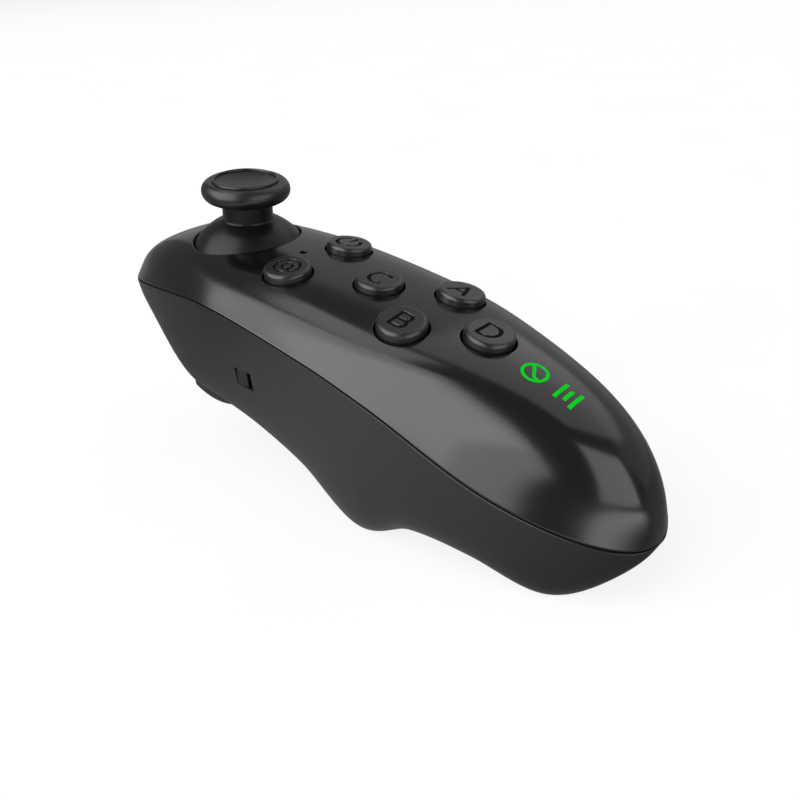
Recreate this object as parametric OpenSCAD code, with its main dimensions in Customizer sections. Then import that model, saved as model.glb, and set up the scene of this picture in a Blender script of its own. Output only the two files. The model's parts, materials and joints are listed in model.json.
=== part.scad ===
// One-hand motion controller for virtual reality.
// +X runs towards the nose and the thumbstick, +Y to the holder's left, +Z up.
// The housing stands on two flat pads at z = 0: one under the hump, one under the tail.

/* [Housing] */
// Overall length, nose to tail
body_len = 136; // [134:0.5:138]
// Overall width at the widest station
body_w = 46; // [45:0.5:48]
// Wall thickness of both shells
wall = 2; // [1.8:0.1:2.2]
// Width of the groove between the two shells
seam = 0.2; // [0.1:0.05:0.3]

/* [Buttons] */
// Diameter of a button cap
button_d = 9.6; // [9:0.1:9.8]
// How far a cap stands out of the housing
button_proud = 1.6; // [1.2:0.1:2]
// Radial gap between a cap and its hole
button_gap = 0.35; // [0.25:0.05:0.45]

/* [Thumbstick] */
// Radius of the ball-shaped skirt
dome_r = 14.5; // [14:0.1:14.8]
// Gap between the skirt and the housing
dome_gap = 0.4; // [0.3:0.05:0.5]
// Radius of the cap
cap_r = 9.45; // [9:0.05:10]
// Lean of the resting stick towards the tail, degrees
stick_lean = 6; // [4:1:7]

/* [Batteries] */
// Diameter of an AAA cell
cell_d = 10.5; // [10:0.1:10.5]
// Length of an AAA cell with its button
cell_len = 44.5; // [44:0.1:44.5]

/* [Slide switch] */
// Width of the sliding knob
knob_w = 3.2; // [3:0.1:3.3]
// Travel of the sliding knob
knob_travel = 2; // [1.5:0.1:2]

/* [Hidden] */
$fn = 48;

// --- the housing's form ---------------------------------------------------
half_len = body_len / 2;
half_w = body_w / 2;
// station where the housing is widest
wide_x = -17;
// exponents of the plan outline: [along, across]
nose_pow = [2.8, 2.6];
tail_pow = [1.6, 2.3];
// evenly spaced heights, tail to nose: of the groove, of the crown above it
// and of the keel below it
groove_z = [10.5, 20, 32, 38, 41, 39.5, 35.5];
crown_h = [22, 17, 9.5, 7.2, 7, 9.8, 10];
keel_h = [5, 17.3, 19.8, 26.6, 37, 31, 28.5, 28.2, 28, 14.8, 8];
// how square the ends are: crown, keel at the tail, keel at the nose
crown_end = 2.4;
keel_tail_end = 8;
keel_nose_end = 1.2;
// cubic section outlines, from the groove [1, 0] to the middle [0, 1]
upper_section = [[1, 0], [0.73, 0.62], [0.74, 1], [0, 1]];
lower_section = [[1, 0], [0.95, 1.1], [0.91, 1], [0, 1]];
stations = 44;
half_steps = 10;
// beyond this distance from the middle the shells are solid
hollow_x = half_len - 2 * wall;

function clamp01(v) = min(max(v, 0), 1);

// smooth curve through evenly spaced heights along the housing
function through(k, x) =
  let (n = len(k) - 1,
       t = (x + half_len) / body_len * n,
       i = min(max(floor(t), 0), n - 1),
       u = t - i,
       p1 = k[i],
       p2 = k[i + 1],
       p0 = i > 0 ? k[i - 1] : 2 * p1 - p2,
       p3 = i < n - 1 ? k[i + 2] : 2 * p2 - p1,
       m1 = (p2 - p0) / 2,
       m2 = (p3 - p1) / 2)
  (2 * pow(u, 3) - 3 * pow(u, 2) + 1) * p1 + (pow(u, 3) - 2 * pow(u, 2) + u) * m1
  + (3 * pow(u, 2) - 2 * pow(u, 3)) * p2 + (pow(u, 3) - pow(u, 2)) * m2;

function end_round(x, k) = sqrt(1 - pow(clamp01(abs(x) / half_len), 2 * k));

function width_at(x) =
  let (nose = x > wide_x,
       t = clamp01(nose ? (x - wide_x) / (half_len - wide_x)
                        : (wide_x - x) / (half_len + wide_x)),
       p = nose ? nose_pow : tail_pow)
  half_w * pow(max(1 - pow(t, p[0]), 0), 1 / p[1]);

function groove_at(x) = through(groove_z, x);
function crown_at(x) = through(crown_h, x) * end_round(x, crown_end);
function keel_at(x) =
  through(keel_h, x) * end_round(x, x > 0 ? keel_nose_end : keel_tail_end);
function floor_at(x) = max(groove_at(x) - keel_at(x), 0);

function bezier(p, s) =
  pow(1 - s, 3) * p[0] + 3 * pow(1 - s, 2) * s * p[1]
  + 3 * (1 - s) * s * s * p[2] + pow(s, 3) * p[3];

upper_table = [for (i = [32 : -1 : 0]) bezier(upper_section, i / 32)];
// height of the housing's upper surface over the point (x, y)
function top_z(x, y) =
  groove_at(x) + crown_at(x) * lookup(abs(y) / width_at(x), upper_table);

// --- lofted shells --------------------------------------------------------
// one arc of a section; side is +1 from left to right, -1 from right to left
function arc(x, w, z0, h, section, side, low) =
  [for (k = [-half_steps : half_steps])
    let (b = bezier(section, 1 - abs(k) / half_steps))
    [x, -side * sign(k) * w * b[0], max(z0 + h * b[1], low)]];

function reversed(v) = [for (i = [len(v) - 1 : -1 : 0]) v[i]];

// closed section of the upper shell: outside arc, then inside arc
function upper_ring(x) =
  let (w = width_at(x),
       h = crown_at(x) - seam / 2,
       z0 = groove_at(x) + seam / 2,
       hollow = abs(x) < hollow_x)
  concat(arc(x, w, z0, h, upper_section, 1, 0),
         reversed(arc(x, max(w - wall, w / 2), z0, hollow ? h - wall : 0,
                      upper_section, 1, 0)));

// closed section of the lower skin, raised by lift and thick mm thick
function lower_ring(x, lift, thick) =
  let (w = width_at(x),
       h = keel_at(x) - seam / 2,
       z0 = groove_at(x) - seam / 2,
       hollow = abs(x) < hollow_x)
  concat(arc(x, w, z0, lift - h, lower_section, -1, lift),
         reversed(arc(x, max(w - thick, w / 2), z0, hollow ? lift + thick - h : 0,
                      lower_section, -1, lift + thick)));

module loft(rings, tail_tip, nose_tip) {
  k = len(rings[0]);
  n = len(rings);
  last = (n - 1) * k;
  points = concat([for (r = rings) each r], [tail_tip, nose_tip]);
  faces = concat(
    [for (i = [0 : n - 2], j = [0 : k - 1])
      let (a = i * k + j, b = a + k, d = i * k + (j + 1) % k, c = d + k)
      each [[a, b, c], [a, c, d]]],
    [for (j = [0 : k - 1]) [n * k, j, (j + 1) % k]],
    [for (j = [0 : k - 1]) [n * k + 1, last + (j + 1) % k, last + j]]);
  polyhedron(points, faces, convexity = 8);
}

station_x = [for (i = [1 : stations - 1]) -half_len * cos(180 * i / stations)];

module upper_loft() {
  loft([for (x = station_x) upper_ring(x)],
       [-half_len, 0, groove_at(-half_len) + seam / 2],
       [half_len, 0, groove_at(half_len) + seam / 2]);
}

module lower_loft(lift, thick) {
  loft([for (x = station_x) lower_ring(x, lift, thick)],
       [-half_len, 0, groove_at(-half_len) - seam / 2],
       [half_len, 0, groove_at(half_len) - seam / 2]);
}

// --- buttons --------------------------------------------------------------
// name, x, y of each button's centre in plan
buttons = [
  ["power", 10, -8.7],
  ["at", 10, 8.7],
  ["c", -6.5, 0],
  ["a", -19.8, -8.6],
  ["b", -19.8, 8.6],
  ["d", -32.8, 0]
];
button_r = button_d / 2;
hole_r = button_r + button_gap;
collar_r = hole_r + 1;
collar_top = -1.9;
collar_bottom = -3;
flange_r = hole_r + 0.4;
flange_top = -3.3;
flange_bottom = -4;
stem_r = 1.5;

probe = 0.05;
function surface_normal(x, y) =
  let (dx = (top_z(x + probe, y) - top_z(x - probe, y)) / (2 * probe),
       dy = (top_z(x, y + probe) - top_z(x, y - probe)) / (2 * probe),
       v = [-dx, -dy, 1])
  v / norm(v);

// children stand on the housing's surface at (x, y), +Z along its normal
module on_surface(x, y) {
  n = surface_normal(x, y);
  translate([x, y, top_z(x, y)])
    rotate([asin(-n[1]), atan2(n[0], n[2]), 0])
      children();
}

// --- main board -----------------------------------------------------------
board_origin = [-12, 0, 36];
board_tilt = 9.3;
board_t = 1.2;
board_outline = [[29, -12], [29, 12], [-18, 13], [-27, 12], [-31, 9.5],
                 [-31, -9.5], [-27, -12], [-18, -13]];
board_normal = [-sin(board_tilt), 0, cos(board_tilt)];
membrane_t = 0.8;
key_dome_r = 3.2;
key_dome_h = 2;
stem_gap = 0.35;
led_x = 14.8;
led_r = 0.7;
led_hole_gap = 0.08;
board_boss_r = 2;
board_screw_len = 3.6;
// world x, y of the screws that hold the main board
board_screw_at = [[3.8, 0], [-31, -11], [-31, 11]];

// children use the board's own frame: z = 0 is its upper face
module on_board() {
  translate(board_origin)
    rotate([0, -board_tilt, 0])
      children();
}

function to_board_x(x) = (x - board_origin[0]) / cos(board_tilt);
function board_top_z(x) = board_origin[2] + (x - board_origin[0]) * tan(board_tilt);

// distance from the housing's surface to the board along a button's axis
function drop_to_board(x, y) =
  ([x, y, top_z(x, y)] - board_origin) * board_normal
  / (surface_normal(x, y) * board_normal);

// --- thumbstick -----------------------------------------------------------
pivot = [33, 0, 38.8];
dome_t = 1.2;
dome_edge_z = 4.5;
neck_r = 5.4;
neck_top = 17.5;
spigot_r = 3.4;
spigot_top = 20.4;
cap_bulge = 2.1;
cap_mid_z = 19.75;
rim_r = 6.75;
rim_w = 0.35;
dish_z = 21.1;
shaft_r = 1.65;
shaft_top = 19.6;
trunnion_r = 1.2;
trunnion_end = 8.4;
gimbal_pin_r = 0.8;
running_gap = 0.05;
can_half = 8.5;
can_t = 0.8;
can_top = 3;
can_bottom = -8;
// the potentiometers: half width, thickness, bottom and top
pot_half = 4.5;
pot_t = 3;
pot_bottom = -4.5;
pot_top = 3.5;
stick_board_t = 1.2;
post_at = [[-7, -16.1], [-7, 16.1], [1, -16.1], [1, 16.1]];
post_r = 1.8;
post_h = 12.4;
// underside of the disc that the centring spring lifts
disc_z = -3.7;
disc_t = 0.8;
disc_r = 5.5;
centring_spring_r = 4;

// children use the stick's frame: the origin is the tilt centre, +Z the stick
module at_pivot() {
  translate(pivot)
    rotate([0, -stick_lean, 0])
      children();
}

// --- triggers -------------------------------------------------------------
pin_r = 1;
pin_gap = 0.06;
// play at the two ends of a pin, together
pin_play = 0.2;
lower_pin_len = 33.4;
upper_pin_len = 26.4;
spring_wire_r = 0.25;
// lower trigger, in plan-view x and z
lower_pivot = [38.2, 21.5];
lower_sweep = 13.9;
lower_arc_centre = [32.5, 31];
lower_arc_r = 18.2;
lower_half_w = 15.5;
lower_corner_r = 1.5;
lower_front_x = 41;
lower_back_x = 24;
lower_plate_top = 17.6;
// the sloping front face of the keel: foot of the slope and its angle
slope_foot = [39, 0, 15.5];
slope_angle = 36.87;
// upper trigger, in distance along the slope and depth into the housing
upper_pivot = [20.3, 4.2];
upper_sweep = 14.9;
upper_arc_centre = [14.3, 23.5];
upper_arc_r = 25;
upper_half_w = 11.5;
upper_plate_top = 2.6;
trigger_gap = 0.4;
// what the windows of the two triggers may take from the lower shell
lower_window = [[22, -20, 10], [41.4, 20, 24]];
upper_window = [[3, -14, -4], [23.2, 14, 5.2]];
// boards behind the triggers
lower_board = [[25, -16.9, 23.4], [35, 16.9, 24.4]];
upper_board = [[12.8, -12.5, 7.5], [24.2, 12.5, 8.5]];
lower_plunger = [29.5, 0, 20];
upper_plunger = [14.9, 0, 4.3];

// children use the slope's frame: +X up the slope, +Z into the housing
module on_slope() {
  translate(slope_foot)
    rotate([0, -slope_angle, 0])
      children();
}

// a cylinder along Y through [x, z], w wide in all
module along_y(p, r, w) {
  translate([p[0], -w / 2, p[1]])
    rotate([-90, 0, 0])
      cylinder(r = r, h = w);
}

// a box from corner a to corner b
module block(a, b) {
  translate(a)
    cube(b - a);
}

// --- batteries, door and slide switch -------------------------------------
cell_r = cell_d / 2;
// height of the cell's button
cell_nub = 0.8;
cell_nub_r = 1.9;
cell_y = 5.6;
cell_z = 13.3;
bay_tail = -56;
bay_front = -7.3;
contact_t = 0.3;
contact_z = 8.5;
contact_half_w = 10;
spring_len = 3.6;
cell_spring_r = 3.2;
cell_spring_wire_r = 0.3;
lead_r = 0.6;
door_tail = -50;
door_front = -8.4;
door_half_w = 12;
door_gap = 0.2;
door_sunk = 0.3;
door_t = 1.6;
knob_x = 12.95;
knob_z = 27.4;
knob_h = 3.9;
knob_face_y = 21.6;
window_gap = 0.15;
knob_inner_y = 18.6;
// half side of the peg that carries the knob's motion into the switch
peg_half = 0.75;
// ribs that hold the slide switch, along x
switch_rib_x = [6.9, 17.1];

// housing screws: x, y, height of the head's seat, top of the screw
case_screws = [[0, -14, 30, 41.5], [0, 14, 30, 41.5], [-60.3, 0, 8.5, 22.9]];
case_boss_r = 3.4;
upper_boss_r = 2.8;
function boss_foot(x) = max(floor_at(x - case_boss_r), floor_at(x + case_boss_r)) + 0.8;
head_r = 2.2;
head_h = 1.8;
head_gap = 0.2;
screw_r = 1.1;
small_head_r = 1.5;
small_screw_r = 0.8;

// --- shared shapes --------------------------------------------------------
coil_steps = 10;
coil_sides = 5;
// a helical spring on +Z: r to the wire's centre line, length over its ends
module coil(r, wire_r, length, turns) {
  n = turns * coil_steps;
  rise = (length - 2 * wire_r - 0.02) / n;
  points = [for (i = [0 : n], k = [0 : coil_sides - 1])
    let (a = 360 * i / coil_steps,
         b = 360 * k / coil_sides,
         d = r + wire_r * cos(b))
    [d * cos(a), d * sin(a), wire_r + 0.01 + rise * i + wire_r * sin(b)]];
  sides = [for (i = [0 : n - 1], k = [0 : coil_sides - 1])
    let (a = i * coil_sides + k,
         b = a + coil_sides,
         d = i * coil_sides + (k + 1) % coil_sides,
         c = d + coil_sides)
    each [[a, c, b], [a, d, c]]];
  start = [for (k = [coil_sides - 1 : -1 : 0]) k];
  end = [for (k = [0 : coil_sides - 1]) n * coil_sides + k];
  polyhedron(points, concat([start, end], sides), convexity = 6);
}

module small_screw(length) {
  translate([0, 0, -1])
    cylinder(r = small_head_r, h = 1);
  cylinder(r = small_screw_r, h = length);
}

// --- housing --------------------------------------------------------------
module key_collars() {
  for (b = buttons)
    on_surface(b[1], b[2])
      translate([0, 0, collar_bottom])
        cylinder(r = collar_r, h = collar_top - collar_bottom);
}

module key_holes() {
  for (b = buttons)
    on_surface(b[1], b[2])
      translate([0, 0, collar_bottom - 1])
        cylinder(r = hole_r, h = 3 - collar_bottom);
}

module board_bosses(r, start, top_margin) {
  for (p = board_screw_at)
    translate([p[0], p[1], board_top_z(p[0])])
      rotate([0, -board_tilt, 0])
        translate([0, 0, start])
          cylinder(r = r, h = top_z(p[0], p[1]) - board_top_z(p[0]) - top_margin - start);
}

module top_shell() {
  color("#2b2b2d")
    difference() {
      union() {
        upper_loft();
        key_collars();
        board_bosses(board_boss_r, 0, 1);
        for (s = case_screws)
          translate([s[0], s[1], groove_at(s[0]) + seam / 2])
            cylinder(r = upper_boss_r, h = s[3] - groove_at(s[0]));
        at_pivot()
          for (p = post_at)
            translate([p[0], p[1], can_bottom])
              cylinder(r = post_r, h = post_h);
      }
      key_holes();
      at_pivot()
        sphere(r = dome_r + dome_gap, $fn = 96);
      board_bosses(small_screw_r, -1, 3);
      for (s = case_screws)
        translate([s[0], s[1], 0])
          cylinder(r = screw_r, h = s[3] + 0.3);
      at_pivot()
        for (p = post_at)
          translate([p[0], p[1], can_bottom - 1])
            cylinder(r = small_screw_r, h = 7);
      translate([led_x, 0, 40])
        cylinder(r = led_r + led_hole_gap, h = 12);
    }
}

module lower_trigger_window() {
  intersection() {
    along_y(lower_pivot, lower_sweep + trigger_gap, 2 * lower_half_w + 0.6);
    block(lower_window[0], lower_window[1]);
  }
}

module upper_trigger_window() {
  on_slope()
    intersection() {
      along_y(upper_pivot, upper_sweep + trigger_gap, 2 * upper_half_w + 0.6);
      block(upper_window[0], upper_window[1]);
    }
}

module door_opening(gap) {
  block([door_tail + gap, gap - door_half_w, -1],
        [door_front - gap, door_half_w - gap, 8]);
}

module trigger_ears() {
  for (side = [-1, 1]) {
    translate([0, side * (lower_half_w + 1), 0])
      along_y(lower_pivot, 1.9, 1.4);
    on_slope() {
      translate([0, side * (upper_half_w + 1.25), 0])
        along_y(upper_pivot, 2, 1.9);
      translate([0, side * 12.8, 0])
        block([12.6, -1.8, 6.4], [24.4, 1.8, upper_board[0][2] - 0.1]);
    }
    translate([0, side * 16.9, 0])
      block([26, -2.3, lower_board[0][2] - 1], [35, 2.3, lower_board[0][2]]);
  }
}

module bay_walls() {
  block([bay_tail - 1, -11, 1.2], [bay_tail, 11, 17]);
  block([bay_front, -12.6, 4], [bay_front + 1, 12.6, 20]);
  for (side = [-1, 1])
    translate([0, side * (door_half_w + 0.8), 0])
      block([bay_tail - 0.5, -0.5, 5], [bay_front + 0.5, 0.5, 10]);
}

module switch_ribs() {
  for (x = switch_rib_x)
    block([x - 0.5, 13, 24], [x + 0.5, 20.8, 31]);
}

module bottom_shell() {
  color("#323234")
    difference() {
      union() {
        lower_loft(0, wall);
        for (s = case_screws)
          translate([s[0], s[1], boss_foot(s[0])])
            cylinder(r = case_boss_r, h = groove_at(s[0]) - seam / 2 - boss_foot(s[0]));
        trigger_ears();
        bay_walls();
        switch_ribs();
      }
      for (s = case_screws) {
        translate([s[0], s[1], -1])
          cylinder(r = head_r + head_gap, h = s[2] + 1);
        translate([s[0], s[1], 0])
          cylinder(r = screw_r + 0.15, h = 50);
      }
      lower_trigger_window();
      upper_trigger_window();
      along_y(lower_pivot, pin_r, lower_pin_len + pin_play);
      on_slope()
        along_y(upper_pivot, pin_r, upper_pin_len + pin_play);
      door_opening(0);
      block([knob_x - knob_w / 2 - knob_travel - window_gap, knob_inner_y - 0.1,
             knob_z - knob_h / 2 - window_gap],
            [knob_x + knob_w / 2 + window_gap, half_w + 1, knob_z + knob_h / 2 + window_gap]);
    }
}

module battery_door() {
  color("#303032") {
    intersection() {
      lower_loft(door_sunk, door_t);
      door_opening(door_gap);
    }
    block([door_tail + 1, -4, door_sunk + door_t - 0.4], [door_tail + 2.2, 4, 6.5]);
  }
}

module housing_screws() {
  color("silver")
    for (s = case_screws)
      translate([s[0], s[1], s[2]]) {
        translate([0, 0, -head_h])
          cylinder(r = head_r, h = head_h);
        cylinder(r = screw_r, h = s[3] - s[2]);
      }
}

// --- thumbstick -----------------------------------------------------------
cap_profile = concat(
  [[0, neck_top], [cap_r - cap_bulge, neck_top]],
  [for (a = [-80 : 10 : 80])
    [cap_r - cap_bulge + cap_bulge * cos(a), cap_mid_z + cap_bulge * sin(a)]],
  [[rim_r + rim_w + 0.1, cap_mid_z + cap_bulge]],
  [for (a = [0 : 30 : 180])
    [rim_r + rim_w * cos(a), cap_mid_z + cap_bulge + rim_w * sin(a)]],
  [for (t = [0.95, 0.75, 0.5, 0.25])
    [t * (rim_r - rim_w), dish_z + 0.6 * t * t]],
  [[0, dish_z]]);

module thumbstick_cap() {
  color("#262628")
    at_pivot()
      difference() {
        rotate_extrude()
          polygon(cap_profile);
        translate([0, 0, neck_top - 1])
          cylinder(r = spigot_r + running_gap, h = spigot_top + 0.1 - neck_top + 1);
      }
}

module thumbstick_dome() {
  color("#2a2a2c")
    at_pivot()
      difference() {
        union() {
          intersection() {
            sphere(r = dome_r, $fn = 96);
            translate([0, 0, dome_edge_z])
              cylinder(r = dome_r + 1, h = dome_r);
          }
          cylinder(r = neck_r, h = neck_top);
          cylinder(r = spigot_r, h = spigot_top);
        }
        sphere(r = dome_r - dome_t, $fn = 96);
        cylinder(r = shaft_r + 0.02, h = shaft_top + 0.1);
      }
}

module stick_shaft() {
  color("#b8b8bc")
    at_pivot() {
      translate([0, 0, -shaft_r])
        cylinder(r = shaft_r, h = shaft_top + shaft_r);
      rotate([0, 90, 0])
        cylinder(r = gimbal_pin_r, h = 7.8, center = true);
    }
}

module gimbal_yoke() {
  color("#d8d8d2")
    at_pivot()
      difference() {
        union() {
          block([-4, -6.2, -1.5], [4, 6.2, 1.5]);
          along_y([0, 0], trunnion_r, 2 * trunnion_end);
        }
        block([-2.3, -3.4, -3], [2.3, 3.4, 3]);
        rotate([0, 90, 0])
          cylinder(r = gimbal_pin_r + running_gap, h = 12, center = true);
      }
}

module follower_yoke() {
  color("#c8c8c2")
    at_pivot()
      difference() {
        union() {
          block([-7.2, -2.8, 4], [7.2, 2.8, 5.5]);
          for (side = [-1, 1]) {
            translate([side * 6.5, 0, 0])
              block([-0.7, -1.6, -1.4], [0.7, 1.6, 4.2]);
            translate([side * 7.1, 0, 0])
              rotate([0, 90, 0])
                cylinder(r = trunnion_r, h = 2 * (trunnion_end - 7.1), center = true);
          }
        }
        block([-4.2, -1.95, 3], [4.2, 1.95, 7]);
      }
}

module stick_housing() {
  color("#9a9a9e")
    at_pivot()
      difference() {
        block([-can_half, -can_half, can_bottom], [can_half, can_half, can_top]);
        block([can_t - can_half, can_t - can_half, can_bottom + can_t],
              [can_half - can_t, can_half - can_t, can_top + 1]);
        along_y([0, 0], trunnion_r + running_gap, 2 * can_half + 2);
        rotate([0, 90, 0])
          cylinder(r = trunnion_r + running_gap, h = 2 * can_half + 2, center = true);
      }
}

module pitch_potentiometer() {
  color("#3f6f4f")
    at_pivot()
      block([-pot_half, can_half, pot_bottom], [pot_half, can_half + pot_t, pot_top]);
}

module roll_potentiometer() {
  color("#3f6f4f")
    at_pivot()
      block([-can_half - pot_t, -pot_half, pot_bottom], [-can_half, pot_half, pot_top]);
}

module centring_disc() {
  color("#e0e0da")
    at_pivot()
      translate([0, 0, disc_z])
        cylinder(r = disc_r, h = disc_t);
}

module centring_spring() {
  color("silver")
    at_pivot()
      translate([0, 0, can_bottom + can_t])
        coil(centring_spring_r, spring_wire_r, disc_z - can_bottom - can_t, 4);
}

module stick_pcb() {
  color("#2f6b3a")
    at_pivot()
      translate([0, 0, can_bottom - stick_board_t])
        difference() {
          linear_extrude(height = stick_board_t)
            union() {
              translate([-11.6, -12])
                square([20.9, 24]);
              translate([-8.6, -17.6])
                square([11.4, 35.2]);
            }
          for (p = post_at)
            translate([p[0], p[1], -1])
              cylinder(r = small_screw_r + 0.1, h = 4);
        }
}

module stick_screws() {
  color("silver")
    at_pivot()
      for (p = post_at)
        translate([p[0], p[1], can_bottom - stick_board_t])
          small_screw(6);
}

// --- buttons and main board -----------------------------------------------
module button(index) {
  b = buttons[index];
  drop = drop_to_board(b[1], b[2]);
  color("#29292b")
    on_surface(b[1], b[2]) {
      rotate_extrude()
        polygon(concat(
          [[0, flange_bottom], [flange_r, flange_bottom], [flange_r, flange_top],
           [button_r, flange_top]],
          [for (a = [0 : 15 : 90])
            [button_r - 0.6 + 0.6 * cos(a), button_proud - 0.6 + 0.6 * sin(a)]],
          [[0, button_proud]]));
      translate([0, 0, key_dome_h + stem_gap - drop])
        cylinder(r = stem_r, h = drop - key_dome_h - stem_gap + flange_bottom + 0.2);
    }
}

module power_button() button(0);
module at_button() button(1);
module c_button() button(2);
module a_button() button(3);
module b_button() button(4);
module d_button() button(5);

module keypad_membrane() {
  color("#8d9196")
    on_board()
      difference() {
        union() {
          linear_extrude(height = membrane_t)
            polygon([[27, -12], [27, 12], [-18, 12.4], [-27, 9.6], [-27, -9.6], [-18, -12.4]]);
          for (b = buttons) {
            n = surface_normal(b[1], b[2]);
            foot = [b[1], b[2], top_z(b[1], b[2])] - n * drop_to_board(b[1], b[2]);
            translate([to_board_x(foot[0]), foot[1], 0])
              cylinder(r = key_dome_r, h = key_dome_h);
          }
        }
        translate([to_board_x(led_x), 0, -1])
          cylinder(r = 2, h = 4);
        for (p = board_screw_at)
          translate([to_board_x(p[0]), p[1], -1])
            cylinder(r = 2.3, h = 4);
        for (side = [-1, 1])
          translate([to_board_x(0), side * 14, -1])
            cylinder(r = case_boss_r, h = 4);
      }
}

module main_pcb() {
  color("#2f6b3a")
    on_board()
      translate([0, 0, -board_t])
        difference() {
          linear_extrude(height = board_t)
            polygon(board_outline);
          for (p = board_screw_at)
            translate([to_board_x(p[0]), p[1], -1])
              cylinder(r = small_screw_r + 0.1, h = 4);
          for (side = [-1, 1])
            translate([to_board_x(0), side * 14, -1])
              cylinder(r = case_boss_r + 0.3, h = 4);
        }
}

module board_screws() {
  color("silver")
    for (p = board_screw_at)
      translate([p[0], p[1], board_top_z(p[0])])
        rotate([0, -board_tilt, 0])
          translate([0, 0, -board_t])
            small_screw(board_screw_len);
}

module radio_chip() {
  color("#1c1c1e")
    on_board()
      block([-3.5, -3.5, -board_t - 1], [3.5, 3.5, -board_t]);
}

module crystal() {
  color("silver")
    on_board()
      block([6, -1.6, -board_t - 0.9], [8.5, 1.6, -board_t]);
}

module antenna() {
  color("#d9d4c8")
    on_board()
      block([-30.4, -3.5, 0], [-28.2, 3.5, 1]);
}

module status_led() {
  color("#e8e4c0")
    on_board()
      translate([to_board_x(led_x), 0, 0])
        block([-0.6, -1, 0], [0.6, 1, 0.7]);
}

module light_pipe() {
  base = board_top_z(led_x) + 1;
  color("#151517")
    translate([led_x, 0, base])
      cylinder(r = led_r, h = top_z(led_x, 0) - 0.15 - base);
}

// --- triggers -------------------------------------------------------------
module lower_trigger() {
  corner_y = lower_half_w - lower_corner_r;
  corner_z = lower_arc_centre[1] - lower_arc_r + lower_corner_r;
  color("#3a3a3c")
    difference() {
      union() {
        intersection() {
          along_y(lower_arc_centre, lower_arc_r, 2 * lower_half_w);
          along_y(lower_pivot, lower_sweep, 2 * lower_half_w);
          union() {
            block([lower_back_x, -corner_y, 12], [lower_front_x, corner_y, lower_plate_top]);
            block([lower_back_x, -lower_half_w, corner_z],
                  [lower_front_x, lower_half_w, lower_plate_top]);
            for (side = [-1, 1])
              translate([lower_back_x, side * corner_y, corner_z])
                rotate([0, 90, 0])
                  cylinder(r = lower_corner_r, h = lower_front_x - lower_back_x);
          }
        }
        along_y(lower_pivot, 2.3, 2 * lower_half_w);
        block([36, -lower_half_w, 16.8], [40.4, lower_half_w, 21.5]);
        block([28.5, -2, 17], [30.5, 2, 18.6]);
      }
      along_y(lower_pivot, pin_r + pin_gap, 40);
    }
}

module upper_trigger() {
  color("#3a3a3c")
    on_slope()
      difference() {
        union() {
          intersection() {
            along_y(upper_arc_centre, upper_arc_r, 2 * upper_half_w);
            along_y(upper_pivot, upper_sweep, 2 * upper_half_w);
            block([4, -12, -2], [22.8, 12, upper_plate_top]);
          }
          along_y(upper_pivot, 2.2, 2 * upper_half_w);
          block([18.1, -upper_half_w, 1], [22.5, upper_half_w, 4.2]);
        }
        along_y(upper_pivot, pin_r + pin_gap, 30);
      }
}

module lower_trigger_pin() {
  color("silver")
    along_y(lower_pivot, pin_r, lower_pin_len);
}

module upper_trigger_pin() {
  color("silver")
    on_slope()
      along_y(upper_pivot, pin_r, upper_pin_len);
}

module lower_trigger_spring() {
  color("silver")
    translate([lower_plunger[0], 8, lower_plate_top])
      coil(1.8, spring_wire_r, lower_board[0][2] - lower_plate_top, 5);
}

module upper_trigger_spring() {
  color("silver")
    on_slope()
      translate([10, 7, upper_plate_top])
        coil(1.5, spring_wire_r, upper_board[0][2] - upper_plate_top, 4);
}

module lower_trigger_switch() {
  color("#1c1c1e") {
    block([26.5, -3, 20.6], [32.5, 3, lower_board[0][2]]);
    translate(lower_plunger)
      cylinder(r = 1.6, h = 0.8);
  }
}

module upper_trigger_switch() {
  color("#1c1c1e")
    on_slope() {
      block([13.2, -3, 4.9], [16.6, 3, upper_board[0][2]]);
      translate(upper_plunger)
        cylinder(r = 1.3, h = 0.8);
    }
}

module lower_trigger_pcb() {
  color("#2f6b3a")
    block(lower_board[0], lower_board[1]);
}

module upper_trigger_pcb() {
  color("#2f6b3a")
    on_slope()
      block(upper_board[0], upper_board[1]);
}

// --- slide switch ---------------------------------------------------------
module switch_knob() {
  color("#2a2a2c") {
    difference() {
      block([knob_x - knob_w / 2, knob_inner_y, knob_z - knob_h / 2],
            [knob_x + knob_w / 2, knob_face_y, knob_z + knob_h / 2]);
      for (k = [-1, 0, 1])
        translate([knob_x + k, 0, 0])
          block([-0.2, knob_face_y - 0.4, 20], [0.2, 23, 35]);
    }
    block([knob_x - peg_half, 16, knob_z - peg_half],
          [knob_x + peg_half, knob_inner_y + 0.2, knob_z + peg_half]);
  }
}

module switch_body() {
  color("#a8a8ac")
    difference() {
      block([7.7, 14.3, knob_z - 2], [16.3, 18.2, knob_z + 2]);
      block([knob_x - peg_half - window_gap - knob_travel, 15.5, knob_z - peg_half - 0.2],
            [knob_x + peg_half + 0.2, 19, knob_z + peg_half + 0.2]);
    }
}

module switch_pcb() {
  color("#2f6b3a")
    block([7.5, 13.3, 24], [16.5, 14.3, 31]);
}

// --- batteries ------------------------------------------------------------
// a cell whose flat end is at x = flat_x; dir is +1 if its button points to +X
module cell(flat_x, y, dir) {
  translate([flat_x, y, cell_z])
    rotate([0, 90 * dir, 0]) {
      cylinder(r = cell_r, h = cell_len - cell_nub);
      cylinder(r = cell_nub_r, h = cell_len);
    }
}

module left_cell() {
  color("#6f7f3a")
    cell(bay_tail + contact_t + spring_len, cell_y, 1);
}

module right_cell() {
  color("#6f7f3a")
    cell(bay_front - contact_t - spring_len, -cell_y, -1);
}

module tail_contact() {
  color("#c9c9cc")
    block([bay_tail, -contact_half_w, contact_z],
          [bay_tail + contact_t, contact_half_w, 18]);
}

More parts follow.
